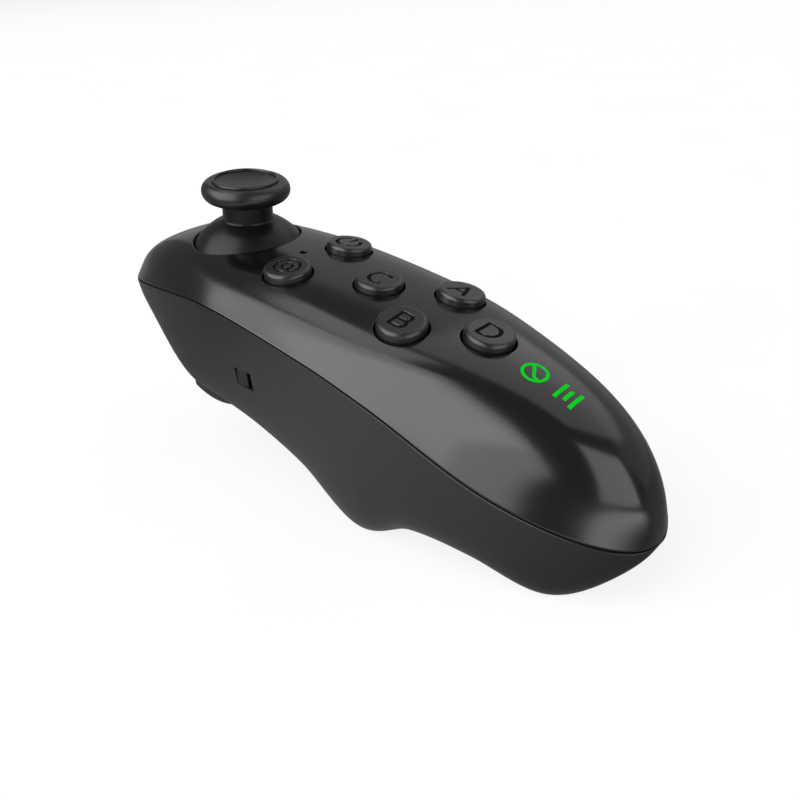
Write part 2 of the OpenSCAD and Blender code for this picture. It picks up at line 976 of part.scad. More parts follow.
module left_contact() {
  color("#c9c9cc")
    block([bay_front - contact_t, 1, contact_z], [bay_front, contact_half_w, 22]);
}

module right_contact() {
  color("#c9c9cc")
    block([bay_front - contact_t, -contact_half_w, contact_z], [bay_front, -1, 22]);
}

module battery_springs() {
  color("silver") {
    translate([bay_tail + contact_t, cell_y, cell_z])
      rotate([0, 90, 0])
        coil(cell_spring_r, cell_spring_wire_r, spring_len, 3);
    translate([bay_front - contact_t - spring_len, -cell_y, cell_z])
      rotate([0, 90, 0])
        coil(cell_spring_r, cell_spring_wire_r, spring_len, 3);
  }
}

module battery_leads() {
  color("firebrick")
    for (side = [-1, 1])
      translate([bay_front + lead_r, side * cell_y, 20])
        cylinder(r = lead_r, h = board_top_z(bay_front + lead_r) - board_t - 20.35);
}

top_shell();
bottom_shell();
battery_door();
housing_screws();
thumbstick_cap();
thumbstick_dome();
stick_shaft();
gimbal_yoke();
follower_yoke();
stick_housing();
pitch_potentiometer();
roll_potentiometer();
centring_disc();
centring_spring();
stick_pcb();
stick_screws();
power_button();
at_button();
a_button();
b_button();
c_button();
d_button();
keypad_membrane();
main_pcb();
board_screws();
radio_chip();
crystal();
antenna();
status_led();
light_pipe();
lower_trigger();
upper_trigger();
lower_trigger_pin();
upper_trigger_pin();
lower_trigger_spring();
upper_trigger_spring();
lower_trigger_switch();
upper_trigger_switch();
lower_trigger_pcb();
upper_trigger_pcb();
switch_knob();
switch_body();
switch_pcb();
left_cell();
right_cell();
tail_contact();
left_contact();
right_contact();
battery_springs();
battery_leads();
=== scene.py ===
"""A one-hand VR motion controller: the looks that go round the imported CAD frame.

Lengths in the code are millimetres unless a name says otherwise; meshes are made in metres.
+X is the nose with the thumbstick, +Y the holder's left, +Z up.
"""

import json
import math

import bpy
import numpy as np
from mathutils import Matrix, Vector
from mathutils.geometry import delaunay_2d_cdt


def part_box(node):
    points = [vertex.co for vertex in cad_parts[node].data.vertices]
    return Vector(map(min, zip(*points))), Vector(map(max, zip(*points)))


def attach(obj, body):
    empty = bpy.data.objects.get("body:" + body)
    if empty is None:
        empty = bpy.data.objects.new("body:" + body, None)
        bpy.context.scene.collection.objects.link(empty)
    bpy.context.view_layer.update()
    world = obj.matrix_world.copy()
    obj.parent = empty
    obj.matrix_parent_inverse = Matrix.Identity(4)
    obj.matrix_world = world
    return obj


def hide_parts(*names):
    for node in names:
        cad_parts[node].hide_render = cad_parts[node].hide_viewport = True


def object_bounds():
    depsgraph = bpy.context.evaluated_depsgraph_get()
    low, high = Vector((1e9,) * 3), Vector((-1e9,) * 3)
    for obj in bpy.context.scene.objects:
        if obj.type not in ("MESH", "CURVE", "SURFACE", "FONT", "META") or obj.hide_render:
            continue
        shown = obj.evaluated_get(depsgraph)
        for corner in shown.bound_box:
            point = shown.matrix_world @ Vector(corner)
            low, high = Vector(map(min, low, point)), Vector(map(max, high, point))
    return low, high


MM = 0.001
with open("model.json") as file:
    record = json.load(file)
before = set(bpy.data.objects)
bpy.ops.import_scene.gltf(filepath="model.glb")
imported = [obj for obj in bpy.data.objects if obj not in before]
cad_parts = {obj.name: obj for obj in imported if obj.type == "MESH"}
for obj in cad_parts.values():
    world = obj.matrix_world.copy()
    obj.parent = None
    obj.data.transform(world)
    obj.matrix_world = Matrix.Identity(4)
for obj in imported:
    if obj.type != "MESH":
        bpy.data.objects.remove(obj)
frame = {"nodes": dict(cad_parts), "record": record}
cad_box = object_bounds()


def node_box(name):
    """A CAD node's lowest and highest corner, in mm."""
    low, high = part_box(name)
    return np.array(low) / MM, np.array(high) / MM


def new_object(name, data):
    item = bpy.data.objects.new(name, data)
    bpy.context.scene.collection.objects.link(item)
    return item


# ---- the housing's form
HALF = (cad_box[1].x - cad_box[0].x) / MM / 2
HALF_W = (cad_box[1].y - cad_box[0].y) / MM / 2
WALL = 2.0
SEAM = 0.2
TONGUE_DEPTH = 0.9
WIDE_X = -17.0
# The plan's curves, as exponents along and across the length.
NOSE_POW = (2.8, 2.6)
TAIL_POW = (1.6, 2.3)
# Heights at even steps from tail to nose: the groove's, the crown's over it, the keel's under it.
GROOVE_Z = (10.5, 20, 32, 38, 41, 39.5, 35.5)
CROWN_H = (22, 17, 9.5, 7.2, 7, 9.8, 10)
KEEL_H = (5, 17.3, 19.8, 26.6, 37, 31, 28.5, 28.2, 28, 14.8, 8)
# How squarely the crown and the keel end.
CROWN_END = 2.4
KEEL_TAIL_END = 8.0
KEEL_NOSE_END = 1.2
# Cross-sections from the groove to the middle, as shares of half the width and of the height.
UPPER = ((1, 0), (0.73, 0.62), (0.74, 1), (0, 1))
LOWER = ((1, 0), (0.95, 1.1), (0.91, 1), (0, 1))


def through(knots, x):
    """A smooth curve through heights spaced evenly from tail to nose."""
    k = np.array(knots, float)
    n = len(k) - 1
    t = (x + HALF) / (2 * HALF) * n
    i = np.clip(np.floor(t).astype(int), 0, n - 1)
    t = t - i
    p1, p2 = k[i], k[i + 1]
    p0 = np.where(i > 0, k[np.maximum(i - 1, 0)], 2 * p1 - p2)
    p3 = np.where(i < n - 1, k[np.minimum(i + 2, n)], 2 * p2 - p1)
    m1, m2 = (p2 - p0) / 2, (p3 - p1) / 2
    start = (2 * t**3 - 3 * t**2 + 1) * p1 + (t**3 - 2 * t**2 + t) * m1
    return start + (3 * t**2 - 2 * t**3) * p2 + (t**3 - t**2) * m2


def end_round(x, k):
    """1 along most of the length, falling to 0 at both ends, later for a larger k."""
    return np.sqrt(np.maximum(1 - np.clip(np.abs(x) / HALF, 0, 1) ** (2 * k), 0))


def width(x):
    """Half the housing's width at x."""
    nose = x > WIDE_X
    t = np.where(nose, (x - WIDE_X) / (HALF - WIDE_X), (WIDE_X - x) / (HALF + WIDE_X))
    t = np.clip(t, 0, 1)
    along = np.where(nose, NOSE_POW[0], TAIL_POW[0])
    across = np.where(nose, NOSE_POW[1], TAIL_POW[1])
    return HALF_W * np.maximum(1 - t**along, 0) ** (1 / across)


def crown(x):
    return through(CROWN_H, x) * end_round(x, CROWN_END)


def keel(x):
    return through(KEEL_H, x) * end_round(x, np.where(x > 0, KEEL_NOSE_END, KEEL_TAIL_END))


def bezier(points, s):
    p = np.array(points, float)
    s = np.asarray(s, float)[..., None]
    start = (1 - s) ** 3 * p[0] + 3 * (1 - s) ** 2 * s * p[1]
    return start + 3 * (1 - s) * s**2 * p[2] + s**3 * p[3]


def unit(v):
    return v / np.maximum(np.linalg.norm(v, axis=-1, keepdims=True), 1e-12)


class Skin:
    """A surface of the housing. u runs from tail to nose, 0 to 1; v runs across, -1 to 1."""

    def __init__(self, outline, side, edge, inset=0.0, lift=0.0):
        self.outline, self.side, self.edge = outline, side, edge
        self.inset, self.lift = inset, lift
        self.table_s = np.linspace(0, 1, 4001)
        self.table = bezier(outline, self.table_s)

    def station(self, x):
        """At x: half the width, the groove's height and the height from there to the middle."""
        w = width(x)
        rise = crown(x) if self.side > 0 else keel(x)
        z0 = through(GROOVE_Z, x) + self.side * SEAM / 2
        return np.maximum(w - self.inset, w / 2), z0, np.maximum(rise - SEAM / 2 - self.inset, 0)

    def start(self, w, h):
        """The share of the outline that the rounded edge at the groove takes."""
        speed = 3 * np.hypot((1 - self.outline[1][0]) * w, self.outline[1][1] * h)
        return np.minimum(self.edge / np.maximum(speed, 1e-6), 0.2)

    def point(self, u, v):
        x = -HALF * np.cos(np.pi * np.asarray(u, float))
        v = np.asarray(v, float)
        w, z0, h = self.station(x)
        s0 = self.start(w, h)
        b = bezier(self.outline, s0 + (1 - s0) * (1 - np.abs(v)))
        z = z0 + self.side * h * b[..., 1]
        if self.side < 0:
            z = np.maximum(z, self.lift)
        return np.stack(np.broadcast_arrays(x, np.sign(v) * w * b[..., 0], z), -1)

    def normal(self, u, v):
        e = 2e-4
        along = self.point(np.minimum(u + e, 1), v) - self.point(np.maximum(u - e, 0), v)
        over = self.point(u, np.minimum(v + e, 1)) - self.point(u, np.maximum(v - e, -1))
        n = self.side * np.cross(along, over)
        tip = np.linalg.norm(n, axis=-1, keepdims=True) < 1e-12
        end = np.zeros_like(n)
        end[..., 0] = np.where(np.asarray(u) > 0.5, 1, -1)
        return np.where(tip, end, unit(n))

    def uv(self, x, share, y):
        """u, v at x for a share of the outline, on the side of y."""
        w, _, h = self.station(x)
        s0 = self.start(w, h)
        v = np.sign(y) * (1 - (share - s0) / (1 - s0))
        return np.stack([np.arccos(-x / HALF) / np.pi, np.clip(v, -1, 1)], -1)

    def under(self, x, y):
        """u, v of the surface over, or under, the plan point x, y."""
        w = self.station(x)[0]
        share = np.interp(np.abs(y) / w, self.table[::-1, 0], self.table_s[::-1])
        return self.uv(x, share, y)

    def beside(self, x, z, y):
        """u, v of the side wall at height z."""
        _, z0, h = self.station(x)
        steep = self.table_s < 0.6
        share = np.interp(self.side * (z - z0) / h, self.table[steep, 1], self.table_s[steep])
        return self.uv(x, share, y)

    def at(self, uv):
        return self.point(uv[:, 0], uv[:, 1]), self.normal(uv[:, 0], uv[:, 1])


TOP = Skin(UPPER, 1, 0.55)
BOTTOM = Skin(LOWER, -1, 0.3)
DOOR = Skin(LOWER, -1, 0.3, lift=0.3)
LINING = Skin(LOWER, -1, 0.3, inset=WALL, lift=WALL)


def top_height(x, y):
    return TOP.at(TOP.under(np.atleast_1d(x), np.atleast_1d(y)))[0][:, 2]


# ---- mesh building
SQUASH = np.array([150.0, 27.0])  # u, v to roughly millimetres
NET_GAP = 0.3
MERGE_POINTS, MERGE_NORMALS = 2e3, 40  # steps to the millimetre, and to a normal's length


def inside(loop, points):
    """Which of the points lie inside the closed loop."""
    found = np.zeros(len(points), bool)
    x, y = points[:, 0], points[:, 1]
    for (xi, yi), (xj, yj) in zip(loop, np.roll(loop, 1, axis=0)):
        if yi != yj:
            crossing = (yi > y) != (yj > y)
            found ^= crossing & (x < (xj - xi) * (y - yi) / (yj - yi) + xi)
    return found


def net(u_lines, v_lines, loops, keep_out=True):
    """uv points and triangles of a grid with the loops cut out of it, or all but one loop."""
    grid = np.stack(np.meshgrid(u_lines, v_lines, indexing="ij"), -1).reshape(-1, 2) * SQUASH
    for loop in loops:
        ring = loop * SQUASH
        low, high = ring.min(0) - NET_GAP, ring.max(0) + NET_GAP
        near = ((grid > low) & (grid < high)).all(1)
        gap = np.full(len(grid), np.inf)
        gap[near] = np.linalg.norm(grid[near][:, None] - ring[None], axis=2).min(1)
        grid = grid[(inside(ring, grid) != keep_out) & (gap > NET_GAP)]
    points, edges = list(grid), []
    for loop in loops:
        first = len(points)
        points += list(loop * SQUASH)
        n = len(loop)
        edges += [(first + i, first + (i + 1) % n) for i in range(n)]
    made = delaunay_2d_cdt([Vector(p) for p in points], edges, [], 0, 1e-7, False)
    out = np.array([tuple(p) for p in made[0]])
    tris = np.array([f for f in made[2] if len(f) == 3])
    middle = out[tris].mean(1)
    keep = np.ones(len(tris), bool)
    for loop in loops:
        keep &= inside(loop * SQUASH, middle) != keep_out
    return out / SQUASH, tris[keep]


class Mesh:
    """Collects points, normals and faces, then makes one smooth object of them."""

    def __init__(self):
        self.points, self.normals, self.faces, self.parts, self.count = [], [], [], [], 0

    def add(self, points, normals, faces, move=None, part=0):
        points, normals = np.asarray(points, float), np.asarray(normals, float)
        if move is not None:
            points = points @ move[:3, :3].T + move[:3, 3]
            normals = normals @ move[:3, :3].T
        self.points.append(points)
        self.normals.append(normals)
        self.faces += [[i + self.count for i in f] for f in faces]
        self.parts += [part] * len(faces)
        self.count += len(points)

    def sheet(self, points, normals, closed=False, move=None, part=0):
        """Quads over points[row, column]; closed joins the last column to the first."""
        rows, columns = points.shape[:2]
        last = columns if closed else columns - 1
        faces = []
        for start in range(0, (rows - 1) * columns, columns):
            for c in range(last):
                d = (c + 1) % columns
                faces.append([start + c, start + d, start + columns + d, start + columns + c])
        self.add(points.reshape(-1, 3), normals.reshape(-1, 3), faces, move, part)

    def turned(self, profile, sides, move, sharp=35, part=0):
        """A profile of (radius, height) points turned round the Z axis."""
        angle = np.arange(sides) * 2 * np.pi / sides
        around_z = np.cos(angle), np.sin(angle), np.ones(sides)

        def swept(pairs):
            return np.stack([np.outer(pairs[:, i], turn) for i, turn in zip((0, 0, 1), around_z)], -1)

        for run, facing in smooth_runs(profile, sharp):
            self.sheet(swept(run), swept(facing), True, move, part)

    def make(self, name, materials, body, slot=None, replaces=()):
        """Joins like corners, turns the faces outwards and puts the object on its body."""
        points, normals = np.concatenate(self.points), unit(np.concatenate(self.normals))
        key = np.concatenate([np.round(points * MERGE_POINTS), np.round(normals * MERGE_NORMALS)], 1)
        _, first, same = np.unique(key, axis=0, return_index=True, return_inverse=True)
        same = same.ravel()
        points, normals = points[first], normals[first]
        faces, parts = [], []
        for f, part in zip(self.faces, self.parts):
            ring = [same[i] for i in f]
            ring = [a for i, a in enumerate(ring) if a != ring[i - 1]]
            if len(set(ring)) < 3 or len(set(ring)) < len(ring):
                continue
            corner = points[ring]
            across = np.cross(corner[1] - corner[0], corner[-1] - corner[0])
            if len(ring) > 3:
                across = np.cross(corner[2] - corner[0], corner[3] - corner[1])
            if across @ normals[ring].sum(0) < 0:
                ring.reverse()
            faces.append(ring)
            parts.append(part)
        mesh = bpy.data.meshes.new(name)
        mesh.from_pydata((points * MM).tolist(), [], faces)
        mesh.shade_smooth()
        mesh.normals_split_custom_set_from_vertices(normals.tolist())
        piece = new_object(name, mesh)
        for material in materials if isinstance(materials, list) else [materials]:
            mesh.materials.append(material)
        mesh.polygons.foreach_set("material_index", parts)
        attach(piece, body)
        if slot:
            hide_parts(*replaces)


def smooth_runs(profile, sharp):
    """Splits a polyline where it turns sharply; each run comes with its normals."""
    p = np.array(profile, float)
    p = p[np.r_[True, np.linalg.norm(np.diff(p, axis=0), axis=1) > 1e-6]]
    step = unit(np.diff(p, axis=0))
    facing = np.stack([step[:, 1], -step[:, 0]], -1)
    cuts = [0]
    for i in range(1, len(step)):
        if step[i - 1] @ step[i] < math.cos(math.radians(sharp)):
            cuts.append(i)
    cuts.append(len(p) - 1)
    for a, b in zip(cuts, cuts[1:]):
        normals = np.zeros((b - a + 1, 2))
        normals[:-1] += facing[a:b]
        normals[1:] += facing[a:b]
        yield p[a : b + 1], unit(normals)


def rounded(corners, steps):
    """A polyline through (across, up, radius) corners, each rounded to its radius."""
    out = []
    for i, (x, y, r) in enumerate(corners):
        p = np.array((x, y), float)
        if r == 0 or i in (0, len(corners) - 1):
            out.append(p)
            continue
        to_last = unit(np.array(corners[i - 1][:2]) - p)
        to_next = unit(np.array(corners[i + 1][:2]) - p)
        half = math.acos(max(-1, min(1, to_last @ to_next))) / 2
        centre = p + unit(to_last + to_next) * r / math.sin(half)
        a = p + to_last * r / math.tan(half) - centre
        b = p + to_next * r / math.tan(half) - centre
        turn = math.pi - 2 * half
        for t in np.linspace(0, 1, steps + 1):
            between = math.sin((1 - t) * turn) * a + math.sin(t * turn) * b
            out.append(centre + between / math.sin(turn))
    return out


def loop_rect(low, high, radius, step=0.6):
    """A rectangle with rounded corners, as points at about that step."""
    (x0, y0), (x1, y1) = low, high
    corners = [((x1, y1), 0), ((x0, y1), 90), ((x0, y0), 180), ((x1, y0), 270)]
    out = []
    for (x, y), turn in corners:
        cx = x - radius if x == x1 else x + radius
        cy = y - radius if y == y1 else y + radius
        for a in np.radians(turn + np.linspace(0, 90, 7)):
            out.append((cx + radius * math.cos(a), cy + radius * math.sin(a)))
    full = []
    for a, b in zip(out, out[1:] + out[:1]):
        n = max(1, int(np.hypot(b[0] - a[0], b[1] - a[1]) / step))
        full += [(a[0] + (b[0] - a[0]) * i / n, a[1] + (b[1] - a[1]) * i / n) for i in range(n)]
    return np.array(full)


def rim(mesh, points, normals, down, depth, radius, outward=False):
    """Turns the skin into a wall at a closed loop: a rounded edge, then as deep as depth along down."""
    along = np.roll(points, -1, axis=0) - np.roll(points, 1, axis=0)
    into = unit(np.cross(normals, along))
    flip = np.sign(((points.mean(0) - points) * into).sum(1, keepdims=True))
    into = into * (-flip if outward else flip)
    rings, facing = [], []
    for a in np.linspace(0, math.pi / 2, 6):
        n = normals * math.cos(a) + into * math.sin(a)
        rings.append(points - radius * normals + radius * n)
        facing.append(n)
    down = unit(np.broadcast_to(np.array(down, float), points.shape))
    wall = unit(into - (into * down).sum(1, keepdims=True) * down)
    mesh.sheet(np.array(rings), np.array(facing), True)
    mesh.sheet(np.array([rings[-1], rings[-1] + down * depth]), np.array([wall, wall]), True)


def lips(mesh, skin, u):
    """The rounded edge at the groove, the flat behind it and the lower shell's tongue."""
    x = -HALF * np.cos(np.pi * u)
    w, z0, h = skin.station(x)
    for side in (-1, 1):
        start = skin.point(u, np.full_like(u, side))
        facing = skin.normal(u, np.full_like(u, side * 0.9999))
        level = np.broadcast_to([0, 0, -skin.side], start.shape)
        corner = np.stack([x, side * w, z0], -1)
        back = np.minimum(skin.edge, 0.4 * w)
        end = np.stack([x, side * (w - back), z0], -1)
        inner = np.stack([x, side * np.maximum(w - WALL, w / 2), z0], -1)
        rings, normals = [], []
        for t in np.linspace(0, 1, 6):
            rings.append((1 - t) ** 2 * start + 2 * t * (1 - t) * corner + t * t * end)
            normals.append(unit((1 - t) * facing + t * level))
        mesh.sheet(np.array(rings), np.array(normals))
        mesh.sheet(np.array([end, inner]), np.array([level, level]))
        if skin.side < 0:
            tongue = np.stack([x, side * np.maximum(w - TONGUE_DEPTH, w / 2), z0], -1)
            outward = unit(facing * [1, 1, 0])
            mesh.sheet(np.array([tongue, tongue + [0, 0, SEAM]]), np.array([outward, outward]))


def soft_box(mesh, low, high, radius, part=0):
    """A box with every edge and corner rounded to radius."""
    low, high = np.array(low, float), np.array(high, float)
    half, middle = (high - low) / 2, (high + low) / 2
    turn = np.tan(np.radians([45, 30, 15, 0]))
    lines = [np.r_[-(h - radius) - radius * turn, (h - radius) + radius * turn[::-1]] for h in half]
    for axis in range(3):
        b, c = (axis + 1) % 3, (axis + 2) % 3
        q, r = np.meshgrid(lines[b], lines[c], indexing="ij")
        for side in (-1, 1):
            on = np.zeros((*q.shape, 3))
            on[..., axis], on[..., b], on[..., c] = side * half[axis], q, r
            core = np.clip(on, -(half - radius), half - radius)
            normals = unit(on - core)
            mesh.sheet(middle + core + radius * normals, normals, part=part)


def thick_outline(mesh, outline, half_w, radius, move):
    """A closed outline in x and z, given width along Y, with rounded ends."""
    p = np.array(outline, float)
    along = unit(np.roll(p, -1, axis=0) - np.roll(p, 1, axis=0))
    facing = np.stack([along[:, 1], -along[:, 0]], -1)
    if (facing * (p - p.mean(0))).sum() < 0:
        facing = -facing

    def with_y(pairs, y):
        return np.stack([pairs[:, 0], np.full(len(pairs), y), pairs[:, 1]], -1)

    rings, normals = [], []
    turns = np.radians(np.linspace(90, 0, 7))
    for side in (-1, 1):
        for a in turns if side < 0 else turns[::-1]:
            y = side * (half_w - radius + radius * math.sin(a))
            rings.append(with_y(p - facing * radius * (1 - math.cos(a)), y))
            normals.append(with_y(facing * math.cos(a), side * math.sin(a)))
    mesh.sheet(np.array(rings), np.array(normals), True, move)
    edges = [(i, (i + 1) % len(p)) for i in range(len(p))]
    for ring in (rings[0], rings[-1]):
        made = delaunay_2d_cdt([Vector((a[0], a[2])) for a in ring], edges, [], 1, 1e-7, False)
        cap = np.array([(v[0], ring[0, 1], v[1]) for v in made[0]])
        level = np.broadcast_to([0, math.copysign(1, ring[0, 1]), 0], cap.shape)
        mesh.add(cap, level, [list(f) for f in made[2]], move)


# ---- materials
def fill(node, **values):
    """Sets a node's sockets by their names, with _ for a space."""
    for key, value in values.items():
        node.inputs[key.replace("_", " ")].default_value = value
    return node


class Shader:
    """A Principled material and short ways to add procedural nodes to it."""

    def __init__(self, name, **sockets):
        self.material = bpy.data.materials.new(name)
        self.material.use_nodes = True
        self.nodes = self.material.node_tree.nodes
        self.links = self.material.node_tree.links
        self.main = fill(self.nodes["Principled BSDF"], **sockets)
        self.place = self.nodes.new("ShaderNodeTexCoord").outputs["Object"]

    def noise(self, size, detail, rough=0.5, stretch=None):
        """Noise whose features are about size mm."""
        node = self.nodes.new("ShaderNodeTexNoise")
        fill(node, Scale=1 / (size * MM), Detail=detail, Roughness=rough)
        self.links.new(self.stretched(stretch) if stretch else self.place, node.inputs["Vector"])
        return node.outputs["Fac"]

    def stretched(self, scale):
        """Places multiplied by scale."""
        node = fill(self.nodes.new("ShaderNodeMapping"), Scale=scale)
        self.links.new(self.place, node.inputs["Vector"])
        return node.outputs["Vector"]

    def ramp(self, source, low, high, stops=(0.3, 0.7)):
        """The base colour, from low to high between two stops of the source."""
        node = self.nodes.new("ShaderNodeValToRGB")
        for element, stop, colour in zip(node.color_ramp.elements, stops, (low, high)):
            element.position = stop
            element.color = (*colour, 1)
        self.links.new(source, node.inputs["Fac"])
        self.links.new(node.outputs["Color"], self.main.inputs["Base Color"])

    def spread(self, source, low, high):
        """The roughness, from low to high over the middle of the source's range."""
        node = self.nodes.new("ShaderNodeMapRange")
        fill(node, From_Min=0.3, From_Max=0.7, To_Min=low, To_Max=high)
        self.links.new(source, node.inputs["Value"])
        self.links.new(node.outputs["Result"], self.main.inputs["Roughness"])

    def bump(self, *heights):
        """heights are (source, height in mm) pairs."""
        last = None
        for source, height in heights:
            node = fill(self.nodes.new("ShaderNodeBump"), Strength=1.0, Distance=height * MM)
            self.links.new(source, node.inputs["Height"])
            if last:
                self.links.new(last, node.inputs["Normal"])
            last = node.outputs["Normal"]
        self.links.new(last, self.main.inputs["Normal"])


def grey(value, tint=0.0):
    """A grey, a little bluer for a larger tint."""
    return (value * (1 - tint), value, value * (1 + tint))


def moulded(name, tone, rough, grain, depth, spread=0.03, specular=0.5):
    """Moulded plastic: a fine spark-eroded grain and slow changes of tone and gloss."""
    s = Shader(name, Specular_IOR_Level=specular)
    s.ramp(s.noise(14, 3, 0.55), grey(tone * 0.85, 0.03), grey(tone * 1.15, 0.05))
    s.spread(s.noise(5, 4, 0.6), rough - spread, rough + spread)
    s.bump((s.noise(grain, 2, 0.6), depth), (s.noise(grain * 6, 2), depth * 1.5))
    return s.material


def metal(name, dark, light, rough):
    """Drawn metal, with fine lines along X."""
    s = Shader(name, Metallic=1.0)
    lines = s.noise(0.5, 3, 0.6, (1, 8, 8))
    s.ramp(s.noise(3, 3), dark, light)
    s.spread(lines, rough - 0.06, rough + 0.08)
    s.bump((lines, 0.002))
    return s.material


GLOSS = moulded("shell_gloss", 0.003, 0.165, 0.16, 0.0002, 0.015)
SATIN = moulded("shell_satin", 0.006, 0.34, 0.2, 0.0008, specular=0.33)
KEYS = moulded("key_plastic", 0.006, 0.3, 0.16, 0.0004)
CAP = moulded("stick_cap", 0.005, 0.32, 0.18, 0.0005, specular=0.38)
SKIRT = moulded("stick_skirt", 0.004, 0.32, 0.16, 0.0003, specular=0.2)
LEVER = moulded("lever_plastic", 0.007, 0.3, 0.18, 0.0005)
# The floors of the keys' sunk strokes: darker than the keys, as painted shade.
GROOVE_SHADE = moulded("key_groove_painted_shade", 0.002, 0.75, 0.2, 0.002, specular=0.12)
# Near black, as painted shade in the slide switch's window.
RECESS_SHADE = moulded("recess_painted_shade", 0.0015, 0.8, 0.2, 0.002, specular=0.08)
STEEL = metal("steel", (0.42, 0.42, 0.43), (0.58, 0.58, 0.6), 0.28)
NICKEL = metal("nickel", (0.5, 0.48, 0.43), (0.64, 0.62, 0.57), 0.24)


def plain(name, low, high, rough, size, height, specular=0.5):
    """A matt solid whose colour wanders between low and high, with a fine texture."""
    s = Shader(name, Specular_IOR_Level=specular)
    s.ramp(s.noise(size, 4, 0.6), low, high)
    s.spread(s.noise(size * 0.6, 3), rough - 0.06, rough + 0.06)
    s.bump((s.noise(size * 0.2, 3), height), (s.noise(size, 2), height * 2))
    return s.material


def circuit_board():
    """Green solder mask over copper tracks that show as slightly raised, lighter bands."""
    s = Shader("solder_mask", Specular_IOR_Level=0.5)
    tracks = fill(s.nodes.new("ShaderNodeTexBrick"), Scale=160, Mortar_Size=0.03)
    fill(tracks, Color1=(0.004, 0.07, 0.02, 1), Color2=(0.005, 0.095, 0.03, 1), Mortar=(0.012, 0.17, 0.06, 1))
    s.links.new(s.place, tracks.inputs["Vector"])
    s.links.new(tracks.outputs["Color"], s.main.inputs["Base Color"])
    s.spread(s.noise(1.2, 3), 0.24, 0.34)
    s.bump((tracks.outputs["Fac"], 0.02), (s.noise(0.4, 2), 0.002))
    return s.material


def winding():
    """Resistive film housings: moulded, with a flow pattern."""
    s = Shader("potentiometer_case", Specular_IOR_Level=0.45)
    s.ramp(s.noise(2.5, 4, 0.6, (1, 1, 3)), (0.02, 0.09, 0.05), (0.04, 0.15, 0.085))
    s.spread(s.noise(1.5, 3), 0.4, 0.52)
    s.bump((s.noise(0.2, 2), 0.003))
    return s.material


def smoked_lens():
    """Nearly black clear plastic."""
    s = Shader("smoked_lens", Specular_IOR_Level=0.03)
    s.ramp(s.noise(0.8, 2), (0.001, 0.001, 0.0012), (0.002, 0.002, 0.0025))
    s.spread(s.noise(0.6, 2), 0.24, 0.32)
    s.bump((s.noise(0.3, 2), 0.0005))
    return s.material


def cell_wrap():
    """Shrink film with a fine flake under a thin clear coat."""
    s = Shader("cell_wrap", Specular_IOR_Level=0.5, Coat_Weight=0.4, Coat_Roughness=0.12)
    s.ramp(s.noise(0.3, 3, 0.7), (0.12, 0.16, 0.03), (0.17, 0.22, 0.05), (0.35, 0.65))
    s.spread(s.noise(3, 3), 0.26, 0.38)
    s.bump((s.noise(2.5, 3, 0.5, (1, 4, 4)), 0.01), (s.noise(0.3, 2), 0.002))
    return s.material


FINISH = {
    "shell_gloss": GLOSS,
    "shell_satin": SATIN,
    "button_plastic": KEYS,
    "stick_rubber": CAP,
    "stick_plastic": SKIRT,
    "nylon": plain("nylon", (0.62, 0.62, 0.57), (0.72, 0.71, 0.67), 0.42, 2, 0.004),
    "steel": STEEL,
    "nickel": NICKEL,
    "board": circuit_board(),
    "component": plain("epoxy_body", (0.012, 0.012, 0.013), (0.022, 0.022, 0.024), 0.5, 0.8, 0.006),
    "potentiometer": winding(),
    "ceramic": plain("fired_ceramic", (0.62, 0.58, 0.5), (0.74, 0.7, 0.62), 0.36, 0.6, 0.005),
    "silicone": plain("silicone", (0.24, 0.25, 0.27), (0.31, 0.32, 0.34), 0.55, 3, 0.01, 0.35),
    "lens": smoked_lens(),
    "cell_jacket": cell_wrap(),
    "wire": plain("lead_insulation", (0.42, 0.012, 0.01), (0.55, 0.025, 0.02), 0.4, 1.5, 0.004),
}
for part in frame["record"]["subparts"]:
    solid = frame["nodes"][part["node"]]
    solid.data.materials.clear()
    solid.data.materials.append(FINISH[part["material_slot"]])


def green_ink():
    """Printing ink, slightly uneven, on the shell."""
    colour = (0.0, 0.46, 0.008)
    s = Shader("green_ink", Specular_IOR_Level=0.02)
    dots = s.noise(0.12, 2)
    s.ramp(dots, tuple(c * 0.75 for c in colour), colour, (0.35, 0.6))
    s.spread(dots, 0.4, 0.55)
    s.bump((dots, 0.001))
    return s.material


INK = green_ink()

# ---- top shell
BUTTON_R = 4.8
HOLE_R = 5.15
HOLE_DEPTH = 1.9
PROUD = 1.6
EDGE = 0.22
PIVOT = np.array([33.0, 0.0, 38.8])
LEAN = math.radians(6)
DOME_HOLE_R = 14.9
DOME_HOLE_DEPTH = 1.8
DOME_EDGE = 0.28
LED_X = 14.8
LED_HOLE_R = 0.78
LED_HOLE_DEPTH = 1.5
LED_EDGE = 0.1


def surface_frame(x, y):
    """4x4 frame on the top surface: +Z the normal, +X the way a key's mark reads."""
    p, n = TOP.at(TOP.under(np.array([float(x)]), np.array([float(y)])))
    n = n[0]
    right = unit(np.array([-1.0, 0, 0]) + n[0] * n)
    m = np.eye(4)
    m[:3, 0], m[:3, 1], m[:3, 2], m[:3, 3] = right, np.cross(n, right), n, p[0]
    return m


def bored_loop(x, y, radius, count=96):
    """uv of the loop where a cylinder square to the surface at x, y meets it."""
    m = surface_frame(x, y)
    a = np.arange(count) * 2 * np.pi / count
    ring = m[:3, 3] + radius * (np.outer(np.cos(a), m[:3, 0]) + np.outer(np.sin(a), m[:3, 1]))
    for _ in range(12):
        lack = (top_height(ring[:, 0], ring[:, 1]) - ring[:, 2]) / m[2, 2]
        ring = ring + np.outer(lack, m[:3, 2])
    return TOP.under(ring[:, 0], ring[:, 1]), -m[:3, 2]


